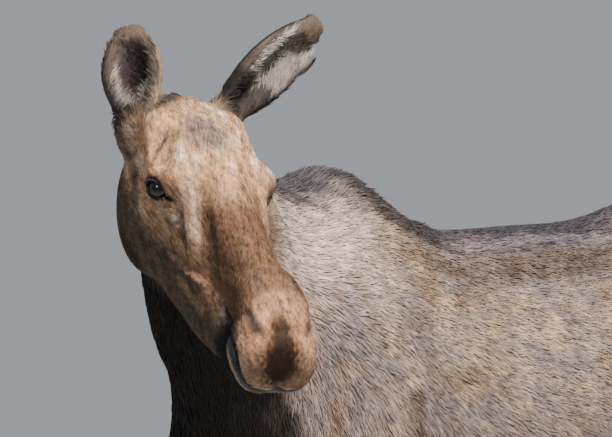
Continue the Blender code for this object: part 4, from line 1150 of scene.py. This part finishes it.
def grow(points, normals, chance):
    """One tuft from each root: a closed, bent spindle of four faces. Its root lies just inside the skin, its
    widest line at two fifths of its length, and its tip is lifted towards the outside of the coat. Also
    returns the normals that shade it like the skin that it lies on, rounded a little across."""
    count = len(points)
    way = lie(points, normals)
    side = np.cross(normals, way)
    way = way + side * chance.normal(0, 0.09, count)[:, None]
    clump = 0.5 * (ripple(points, 0.03, 31) + ripple(points, 0.012, 32))
    way = unit(way + side * (0.12 * clump)[:, None])
    side = np.cross(normals, way)
    length = hair_length(points, normals) * chance.uniform(0.65, 1.2, count)
    width = hair_width(length) * chance.uniform(0.7, 1.15, count)
    inside = ear_inside(points, normals)
    length *= 1 + 0.3 * inside * chance.random(count)
    width *= 1 - 0.35 * inside
    lift = coat_depth(points) * (0.1 + 0.8 * chance.random(count) ** 1.3)
    lift += length * (0.01 + 0.1 * crest_share(points) + 0.22 * inside) * chance.random(count) ** 2
    sink = -0.0006 - 0.02 * length
    root = points + normals * sink[:, None]
    middle = points + way * (0.4 * length)[:, None] + normals * (0.62 * lift + 0.22 * width)[:, None]
    tip = points + way * length[:, None] + normals * (lift - 0.02 * length)[:, None]
    tip += side * (0.1 * length * chance.normal(size=count))[:, None]
    half = side * (width / 2)[:, None]
    leaning = np.array((0, 0.45, -0.45, 0))[:, None] * side[:, None] + normals[:, None]
    return np.stack((root, middle + half, middle - half, tip), 1), unit(leaning)


# ---------------------------------------------------------------- finished pieces

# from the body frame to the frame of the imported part
SHIFT = (np.array(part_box("eye_left")[0]) + np.array(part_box("eye_left")[1])) / 2 - on_head(EYE_AT)


def add_piece(name, verts, faces, material):
    """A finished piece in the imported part's frame, riding on the one body."""
    mesh = mesh_from(name, verts + SHIFT, faces)
    mesh.materials.append(material)
    mesh.shade_smooth()
    obj = in_scene(name, mesh)
    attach(obj, "root")
    return obj


def add_numbers(mesh, name, kind, values):
    """Stores one value for each point of the mesh."""
    store = mesh.attributes.new(name, kind, "POINT")
    key = "color" if kind == "FLOAT_COLOR" else "value"
    store.data.foreach_set(key, np.asarray(values, np.float32).ravel())


def opaque(colours):
    """The colours with a fourth value of one."""
    return np.hstack((np.clip(colours, 0, 1), np.ones((len(colours), 1))))


def outward(verts, faces, inner):
    """The faces, all turned round if they look towards the points inside them."""
    way = (face_normals(verts, faces) * (verts[faces[:, 0]] - inner)).sum()
    return faces[:, ::-1] if way < 0 else faces


def point_normals(verts, faces):
    """Mean way that the faces round each point look."""
    cross = face_normals(verts, faces)
    total = np.zeros_like(verts)
    for k in range(3):
        for axis in range(3):
            total[:, axis] += np.bincount(faces[:, k], cross[:, axis], len(verts))
    return total / np.maximum(np.linalg.norm(total, axis=1), 1e-12)[:, None]


def triangles(quads):
    """Each four-sided face as two of three sides."""
    return np.concatenate((quads[:, (0, 1, 2)], quads[:, (0, 2, 3)]))


SKIN_TRIANGLES = 190000
# size of the cells that each surface is worked out in
BODY_CELL, HEAD_CELL, HOOF_CELL = 0.0115, 0.0032, 0.0044
# for each axis: start and end of the whole animal, and of the head
SKIN_REACH = [(-1.44, 0.88, -1.37, -0.8), (-0.7, 0.36, -0.6, 0.03), (0.04, 2.16, 1.5, 2.11)]


def add_skin(material):
    """The skin of the whole animal, thinned evenly to its number of triangles, with its markings."""
    marks = [ticks(low, high, BODY_CELL, [(start, end, HEAD_CELL)]) for low, high, start, end in SKIN_REACH]
    verts, quads = surface(skin, marks)
    faces = triangles(quads)
    obj = in_scene("whole", mesh_from("whole", verts, faces))
    obj.modifiers.new("thin", "DECIMATE").ratio = SKIN_TRIANGLES / len(faces)
    mesh = obj.evaluated_get(bpy.context.evaluated_depsgraph_get()).to_mesh()
    mesh.calc_loop_triangles()
    verts, faces = np.empty(len(mesh.vertices) * 3), np.empty(len(mesh.loop_triangles) * 3, int)
    mesh.vertices.foreach_get("co", verts)
    mesh.loop_triangles.foreach_get("vertices", faces)
    verts, faces = verts.reshape(-1, 3), faces.reshape(-1, 3)
    bpy.data.objects.remove(obj)
    obj = add_piece("skin", verts, faces, material)
    add_numbers(obj.data, "marking", "FLOAT_COLOR", opaque(markings(verts, point_normals(verts, faces))))
    add_numbers(obj.data, "wet", "FLOAT", lip_share(verts))
    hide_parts(*[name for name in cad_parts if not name.startswith(("eye", "hoof"))])
    return verts, faces


def coat_pieces(points, region):
    """Which roots each piece of the coat holds, and its slot."""
    x, y, _ = points.T
    along, side, _ = in_head(points).T
    trunk, head, leg = (region == name for name in ("trunk", "head", "leg"))
    pieces = {}
    for place, here in (("shoulder", x < -0.2), ("flank", (x >= -0.2) & (x < 0.3)), ("rump", x >= 0.3)):
        pieces[f"coat_{place}_left"] = trunk & here & (y < 0), "coat_trunk"
        pieces[f"coat_{place}_right"] = trunk & here & (y >= 0), "coat_trunk"
    pieces["coat_neck"] = region == "neck", "coat_neck"
    pieces["coat_tail"] = region == "tail", "coat_tail"
    pieces["coat_ears"] = region == "ear", "coat_ear"
    low = along > 0.44
    pieces["coat_face_left"] = head & (side > 0) & ~low, "coat_head"
    pieces["coat_face_right"] = head & (side <= 0) & ~low, "coat_head"
    pieces["coat_muzzle"] = head & low, "coat_head"
    pieces["coat_forelegs"] = leg & (x < 0), "coat_leg"
    pieces["coat_hindlegs"] = leg & (x >= 0), "coat_leg"
    return pieces


def add_coat(verts, faces, material):
    """All the tufts, in pieces by region, with their markings, the share along each tuft and its own tone."""
    chance = np.random.default_rng(7)
    points, normals, region = scatter(verts, faces, chance)
    tufts, shading = grow(points, normals, chance)
    colours = opaque(markings(points, normals))
    tone = 0.5 + (chance.random(len(points)) - 0.5) * (1 - 0.35 * leg_share(points))
    corner = np.array(((0, -0.5), (-0.35, -0.1), (0.35, -0.1), (0, 0.5))) * PATCH
    spots = unwrap(points, normals)[:, None] + corner
    for name, (pick, slot) in coat_pieces(points, region).items():
        index = tuft_faces(int(pick.sum()))
        mesh = add_piece(name, tufts[pick].reshape(-1, 3), index, material).data
        add_numbers(mesh, "marking", "FLOAT_COLOR", np.repeat(colours[pick], 4, 0))
        add_numbers(mesh, "along", "FLOAT", np.tile((0, 0.4, 0.4, 1), int(pick.sum())))
        add_numbers(mesh, "tone", "FLOAT", np.repeat(tone[pick], 4))
        places = spots[pick].reshape(-1, 2)[index.ravel()]
        mesh.uv_layers.new(name="OFBake").data.foreach_set("uv", places.astype(np.float32).ravel())
        mesh.normals_split_custom_set_from_vertices(shading[pick].reshape(-1, 3))


EYE_STRETCH = np.array((1.2, 1.0, 1.0))    # a ball slightly longer along the slit than across it


EYE_BULGE = 0.13                            # how much further out the front of the ball stands
LID_TUBE = 0.0262                           # half length of the dark rim round the opening
LASHES = 70


def add_eye(name, side, material):
    """A finer eyeball with a bulging front; its poles lie where the eye looks, and the distance from there is
    stored as gaze."""
    rings, turns = 24, 40
    centre, axes = eye_frame(side)
    away = np.repeat(np.linspace(0, np.pi, rings + 1)[1:-1], turns)
    turn = np.tile(np.arange(turns) * 2 * np.pi / turns, rings - 1)
    local = np.stack((np.sin(away) * np.cos(turn), np.cos(away), np.sin(away) * np.sin(turn)), 1)
    local = np.vstack((local, (0, 1, 0), (0, -1, 0)))
    here = np.arange((rings - 2) * turns)
    nxt = here // turns * turns + (here + 1) % turns
    bands = np.stack((here, here + turns, nxt + turns, nxt), 1)
    first, last = len(local) - 2, len(local) - 1
    end, end_nxt = here[:turns], nxt[:turns]
    ends = np.stack((np.full(turns, first), end, end_nxt), 1)
    other = np.stack((np.full(turns, last), end_nxt + (rings - 2) * turns, end + (rings - 2) * turns), 1)
    bulge = 1 + EYE_BULGE * rise(local[:, 1], 0.45, 0.95)
    verts = centre + local * bulge[:, None] * EYE_RADIUS * EYE_STRETCH @ axes
    faces = outward(verts, np.vstack((triangles(bands), ends, other)), centre)
    obj = add_piece(name, verts, faces, material)
    pupil = np.hypot(local[:, 0] / 0.42, local[:, 2] / 0.26)
    add_numbers(obj.data, "gaze", "FLOAT", np.where(local[:, 1] > 0, pupil, 9))
    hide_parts("eye_left" if side > 0 else "eye_right")


def lid_tube(centre, axes):
    """A closed tube that follows the opening over the ball, thicker over the eye: points and faces."""
    steps, turns = 64, 8
    angle = np.arange(steps) * 2 * np.pi / steps
    slit, up = np.cos(angle), np.sin(angle)
    tall = np.where(up > 0, 0.0136, 0.0142) * up
    out = np.sqrt((EYE_RADIUS + 0.0015) ** 2 - tall**2) * (1 - 0.3 * slit**2)
    ring = np.stack((LID_TUBE * slit, out, tall), 1)
    ahead = unit(np.roll(ring, -1, 0) - np.roll(ring, 1, 0))
    outer = unit(ring)
    across = np.cross(ahead, outer)
    turn = np.arange(turns) * 2 * np.pi / turns
    thick = np.where(up > 0, 0.0027, 0.0013)
    local = (ring[:, None] + np.cos(turn)[None, :, None] * outer[:, None] * (thick * 0.8)[:, None, None]
             + np.sin(turn)[None, :, None] * across[:, None] * thick[:, None, None]).reshape(-1, 3)
    i, j = (v.ravel() for v in np.meshgrid(np.arange(steps), np.arange(turns), indexing="ij"))
    nxt, up_one = (i + 1) % steps, (j + 1) % turns
    quads = np.stack((i * turns + j, nxt * turns + j, nxt * turns + up_one, i * turns + up_one), 1)
    faces = triangles(quads)
    verts = centre + local @ axes
    return verts, outward(verts, faces, (centre + ring.repeat(turns, 0) @ axes)[faces[:, 0]])


def lashes(centre, axes, chance):
    """Short lashes along the upper lid, each one a tuft: points and faces."""
    root = np.linspace(0.12, 0.92, LASHES) * np.pi
    base = np.stack((0.0212 * np.cos(root), 0.0135 + 0.007 * np.sin(root), 0.015 * np.sin(root)), 1)
    base += chance.normal(0, 0.0006, base.shape)
    sideways = 0.5 * np.cos(root) + chance.normal(0, 0.15, LASHES)
    way = unit(np.stack((sideways, np.full(LASHES, 0.95), np.full(LASHES, 0.1)), 1))
    length = chance.uniform(0.007, 0.013, LASHES)[:, None]
    wide = np.cross(way, (0, 0, 1.0)) * 0.00035
    middle = base + way * length * 0.4 + (0, 0, 0.0006)
    local = np.stack((base, middle + wide, middle - wide, base + way * length - np.array((0, 0, 0.0015))), 1)
    faces = tuft_faces(LASHES)
    return centre + local.reshape(-1, 3) @ axes, faces[:, ::-1] if np.linalg.det(axes) < 0 else faces


def add_lid_rims(name, side, material):
    """Dark wet rim round the opening of one eye, with lashes."""
    centre, axes = eye_frame(side)
    verts, faces = lid_tube(centre, axes)
    hairs, hair_faces = lashes(centre, axes, np.random.default_rng(11 + side))
    faces = np.vstack((faces, hair_faces + len(verts)))
    add_piece(name, np.vstack((verts, hairs)), faces, material)


def add_hooves(material):
    """Eight claws of horn."""
    for leg, x in FOOT_X.items():
        y = FOOT_Y[leg]
        reach = ((x - 0.132, x + 0.095), (y - 0.08, y + 0.082), (-0.0101, 0.105))
        marks = [np.arange(low, high, HOOF_CELL) for low, high in reach]
        marks = [m[:(len(m) - 1) // BLOCK * BLOCK + 1] for m in marks]
        verts, quads = surface(hooves, marks)
        faces = triangles(quads)
        outer = verts[faces].mean(1)[:, 1] * np.sign(y) > abs(y)
        for name, pick in (("outer", outer), ("inner", ~outer)):
            used, index = np.unique(faces[pick], return_inverse=True)
            spots = verts[used]
            spots[:, 2] = np.maximum(spots[:, 2], 0.0002)
            obj = add_piece(f"claw_{leg}_{name}", spots, index.reshape(-1, 3), material)
            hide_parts(f"hoof_{leg}_{name}")


# ---------------------------------------------------------------- materials

COAT_ROUGHNESS = 0.68


def group(name, inputs, outputs):
    """An empty node group with the given sockets: name to kind."""
    tree = bpy.data.node_groups.new(name, "ShaderNodeTree")
    for direction, sockets in (("INPUT", inputs), ("OUTPUT", outputs)):
        for socket, kind in sockets.items():
            tree.interface.new_socket(socket, in_out=direction, socket_type="NodeSocket" + kind)
    return tree, tree.nodes.new("NodeGroupInput"), tree.nodes.new("NodeGroupOutput")


def node(tree, kind, settings=None, **inputs):
    """Adds a node. Settings are its own values; the inputs are numbers, or sockets that are linked."""
    made = tree.nodes.new("ShaderNode" + kind)
    for key, value in (settings or {}).items():
        setattr(made, key, value)
    for key, value in inputs.items():
        socket = made.inputs[int(key[1:]) if key[0] == "i" and key[1:].isdigit() else key.replace("_", " ")]
        if isinstance(value, bpy.types.NodeSocket):
            tree.links.new(value, socket)
        else:
            socket.default_value = value
    return made


def ramp(tree, value, stops):
    """A ramp of colours: stops are (place, grey or colour)."""
    made = tree.nodes.new("ShaderNodeValToRGB")
    tree.links.new(value, made.inputs["Fac"])
    band = made.color_ramp
    while len(band.elements) < len(stops):
        band.elements.new(0.5)
    for element, (place, colour) in zip(band.elements, stops):
        element.position = place
        element.color = (*([colour] * 3 if np.isscalar(colour) else colour), 1)
    return made.outputs["Color"]


def noise(tree, scale, detail=2.0, stretch=(1, 1, 1)):
    """Noise on the object's own coordinates, stretched along its axes."""
    place = node(tree, "TexCoord").outputs["Object"]
    place = node(tree, "Mapping", Vector=place, Scale=stretch).outputs["Vector"]
    return node(tree, "TexNoise", Vector=place, Scale=scale, Detail=detail).outputs["Fac"]


def times(tree, first, second):
    """Product of two colours."""
    made = node(tree, "Mix", {"data_type": "RGBA", "blend_type": "MULTIPLY"}, i0=1.0, i6=first, i7=second)
    return made.outputs[2]


def hair_colour():
    """Group: the marking's colour, darker at the roots, and varied from tuft to tuft and over patches."""
    tree, given, result = group("hair_colour", {"Marking": "Color", "Along": "Float", "Tone": "Float"},
                                {"Color": "Color"})
    tones = [(0.0, 0.6), (0.3, 0.82), (0.55, 0.98), (0.8, 1.12), (1.0, 1.35)]
    tone = ramp(tree, given.outputs["Tone"], tones)
    length = ramp(tree, given.outputs["Along"], [(0.0, 0.62), (0.35, 0.9), (0.75, 1.06), (1.0, 1.15)])
    patch = ramp(tree, noise(tree, 45, 3), [(0.3, 0.78), (0.7, 1.18)])
    colour = given.outputs["Marking"]
    for share in (tone, length, patch):
        colour = times(tree, colour, share)
    tree.links.new(colour, result.inputs["Color"])
    return tree


def new_material(name, roughness, **constants):
    """A material with one shader, and the numbers on its sockets."""
    material = bpy.data.materials.new(name)
    material.use_nodes = True
    tree = material.node_tree
    shader = tree.nodes["Principled BSDF"]
    shader.inputs["Roughness"].default_value = roughness
    for key, value in constants.items():
        shader.inputs[key.replace("_", " ")].default_value = value
    return material, tree, shader


def attribute(tree, name, out="Fac"):
    """The numbers or colours stored on the mesh under the name."""
    return node(tree, "Attribute", {"attribute_name": name}).outputs[out]


def paint(tree, shader, colour):
    """Gives the shader its colour."""
    tree.links.new(colour, shader.inputs["Base Color"])


def roughen(tree, shader, strength, distance, height):
    """Gives the shader small bumps."""
    bump = node(tree, "Bump", Strength=strength, Distance=distance, Height=height)
    tree.links.new(bump.outputs["Normal"], shader.inputs["Normal"])


def hair_paint(tree, shader, colouring, along, tone):
    """The group of the hair's colour, fed with the markings, the place along a tuft and the tone."""
    call = node(tree, "Group", {"node_tree": colouring}, Marking=attribute(tree, "marking", "Color"),
                Along=along, Tone=tone)
    paint(tree, shader, call.outputs["Color"])


def coat_material(colouring):
    """Dull hair, each tuft with its own tone."""
    material, tree, shader = new_material("coat", COAT_ROUGHNESS, Specular_IOR_Level=0.12)
    hair_paint(tree, shader, colouring, attribute(tree, "along"), attribute(tree, "tone"))
    return material


def skin_material(colouring):
    """Undercoat and bare skin: the same markings, with fine streaks in place of tufts, and wet lips."""
    material, tree, shader = new_material("undercoat", COAT_ROUGHNESS, Specular_IOR_Level=0.16)
    dull = ramp(tree, attribute(tree, "wet"), [(0.0, COAT_ROUGHNESS), (1.0, 0.34)])
    tree.links.new(dull, shader.inputs["Roughness"])
    hair_paint(tree, shader, colouring, 0.42, ramp(tree, noise(tree, 420), [(0.3, 0.28), (0.7, 0.72)]))
    roughen(tree, shader, 0.35, 0.0012, noise(tree, 520))
    return material


def eye_material():
    """Dark brown iris round a wide black pupil, under a clear wet surface."""
    material, tree, shader = new_material("eye", 0.03, Specular_IOR_Level=0.35)
    iris = ramp(tree, attribute(tree, "gaze"), [(0.0, 0.003), (0.6, 0.003), (0.72, (0.014, 0.007, 0.004)),
                                                (1.0, (0.008, 0.004, 0.003))])
    paint(tree, shader, times(tree, iris, ramp(tree, noise(tree, 900), [(0.3, 0.7), (0.7, 1.3)])))
    return material


def lid_material():
    """Dark, slightly wet skin of the lids."""
    material, tree, shader = new_material("eyelid", 0.42, Specular_IOR_Level=0.4)
    colour = ramp(tree, noise(tree, 300, 3), [(0.35, (0.006, 0.005, 0.005)), (0.7, (0.018, 0.014, 0.014))])
    paint(tree, shader, colour)
    roughen(tree, shader, 0.4, 0.0005, noise(tree, 700))
    return material


def horn_material():
    """Dark horn with fine growth rings and vertical grain."""
    material, tree, shader = new_material("horn", 0.42)
    grain = noise(tree, 60, 4, (3, 3, 0.5))
    rings = noise(tree, 30, 2, (0.3, 0.3, 4))
    both = node(tree, "Math", {"operation": "ADD"}, i0=grain, i1=rings).outputs[0]
    paint(tree, shader, ramp(tree, both, [(0.3, (0.02, 0.016, 0.014)), (0.65, (0.055, 0.045, 0.038))]))
    roughen(tree, shader, 0.4, 0.001, both)
    return material


# ---------------------------------------------------------------- floor, light and camera

CAMERA_PLACE = (-11.64723, -9.30634, 2.71889)
CAMERA_TURN = -50.0         # degrees about the vertical
CAMERA_RISE = 4.0           # degrees that it looks down
CAMERA_LENS = 448.82        # focal length in millimetres, on a frame 36 wide
FLOOR_HALF = 9.0            # half the width of the floor


def add_floor():
    """A plain pale floor."""
    corners = np.array(((-1, -1, 0), (1, -1, 0), (1, 1, 0), (-1, 1, 0)))
    mesh = mesh_from("floor", corners * FLOOR_HALF, np.array([(0, 1, 2, 3)]))
    material, tree, shader = new_material("floor", 0.8)
    paint(tree, shader, ramp(tree, noise(tree, 3, 3), [(0.3, (0.6, 0.6, 0.58)), (0.7, (0.66, 0.66, 0.64))]))
    mesh.materials.append(material)
    floor = in_scene("floor", mesh)


def camera_axes():
    """The ways to the camera's right, up in its picture, and back from what it looks at."""
    a, e = math.radians(CAMERA_TURN), math.radians(CAMERA_RISE)
    back = np.array((math.sin(a) * math.cos(e), -math.cos(a) * math.cos(e), math.sin(e)))
    right = np.array((math.cos(a), math.sin(a), 0.0))
    return right, np.cross(back, right), back


def look(obj, place, back, right, up):
    """Puts a camera or a lamp in its place, looking against the way back."""
    turn = Matrix([[right[k], up[k], back[k]] for k in range(3)]).to_4x4()
    turn.translation = place
    obj.matrix_world = turn


def add_camera():
    """The camera, in front of her left shoulder."""
    camera = bpy.data.cameras.new("camera")
    camera.lens, camera.sensor_width, camera.clip_end = CAMERA_LENS, 36, 100
    obj = in_scene("camera", camera)
    right, up, back = camera_axes()
    look(obj, np.array(CAMERA_PLACE) + SHIFT, back, right, up)
    bpy.context.scene.camera = obj


def add_light(name, aim, way, distance, size, power, colour):
    """A square area light: its way is (to the camera's right, up, towards the camera) from its aim."""
    right, _, back = camera_axes()
    towards = way[0] * right + way[1] * np.array((0, 0, 1)) + way[2] * np.array((back[0], back[1], 0))
    towards = unit(towards)
    lamp = bpy.data.lights.new(name, "AREA")
    lamp.shape, lamp.size, lamp.energy, lamp.color = "SQUARE", size, power, colour
    side = unit(np.cross((0, 0, 1), towards))
    place = np.array(aim) + SHIFT + towards * distance
    look(in_scene(name, lamp), place, towards, side, np.cross(towards, side))


def add_world(strength):
    """Even, slightly blue light from all round."""
    world = bpy.data.worlds.new("world")
    world.use_nodes = True
    back = world.node_tree.nodes["Background"]
    back.inputs["Color"].default_value = (0.86, 0.9, 0.96, 1)
    back.inputs["Strength"].default_value = strength
    bpy.context.scene.world = world


# ---------------------------------------------------------------- all of it

colouring = hair_colour()
coat_look, skin_look = coat_material(colouring), skin_material(colouring)
verts, faces = add_skin(skin_look)
add_coat(verts, faces, coat_look)
eye_look, lid_look = eye_material(), lid_material()
add_eye("eyeball_left", 1, eye_look)
add_eye("eyeball_right", -1, eye_look)
add_lid_rims("eyelid_left", 1, lid_look)
add_lid_rims("eyelid_right", -1, lid_look)
add_hooves(horn_material())

add_floor()
add_camera()
add_world(0.42)
add_light("key", (-0.7, -0.1, 1.7), (0.42, 1.1, 0.85), 5.0, 1.0, 880, (1.0, 0.96, 0.9))
add_light("fill", (-0.7, -0.1, 1.5), (-0.85, 0.42, 0.6), 6.0, 1.0, 100, (0.66, 0.82, 1.0))
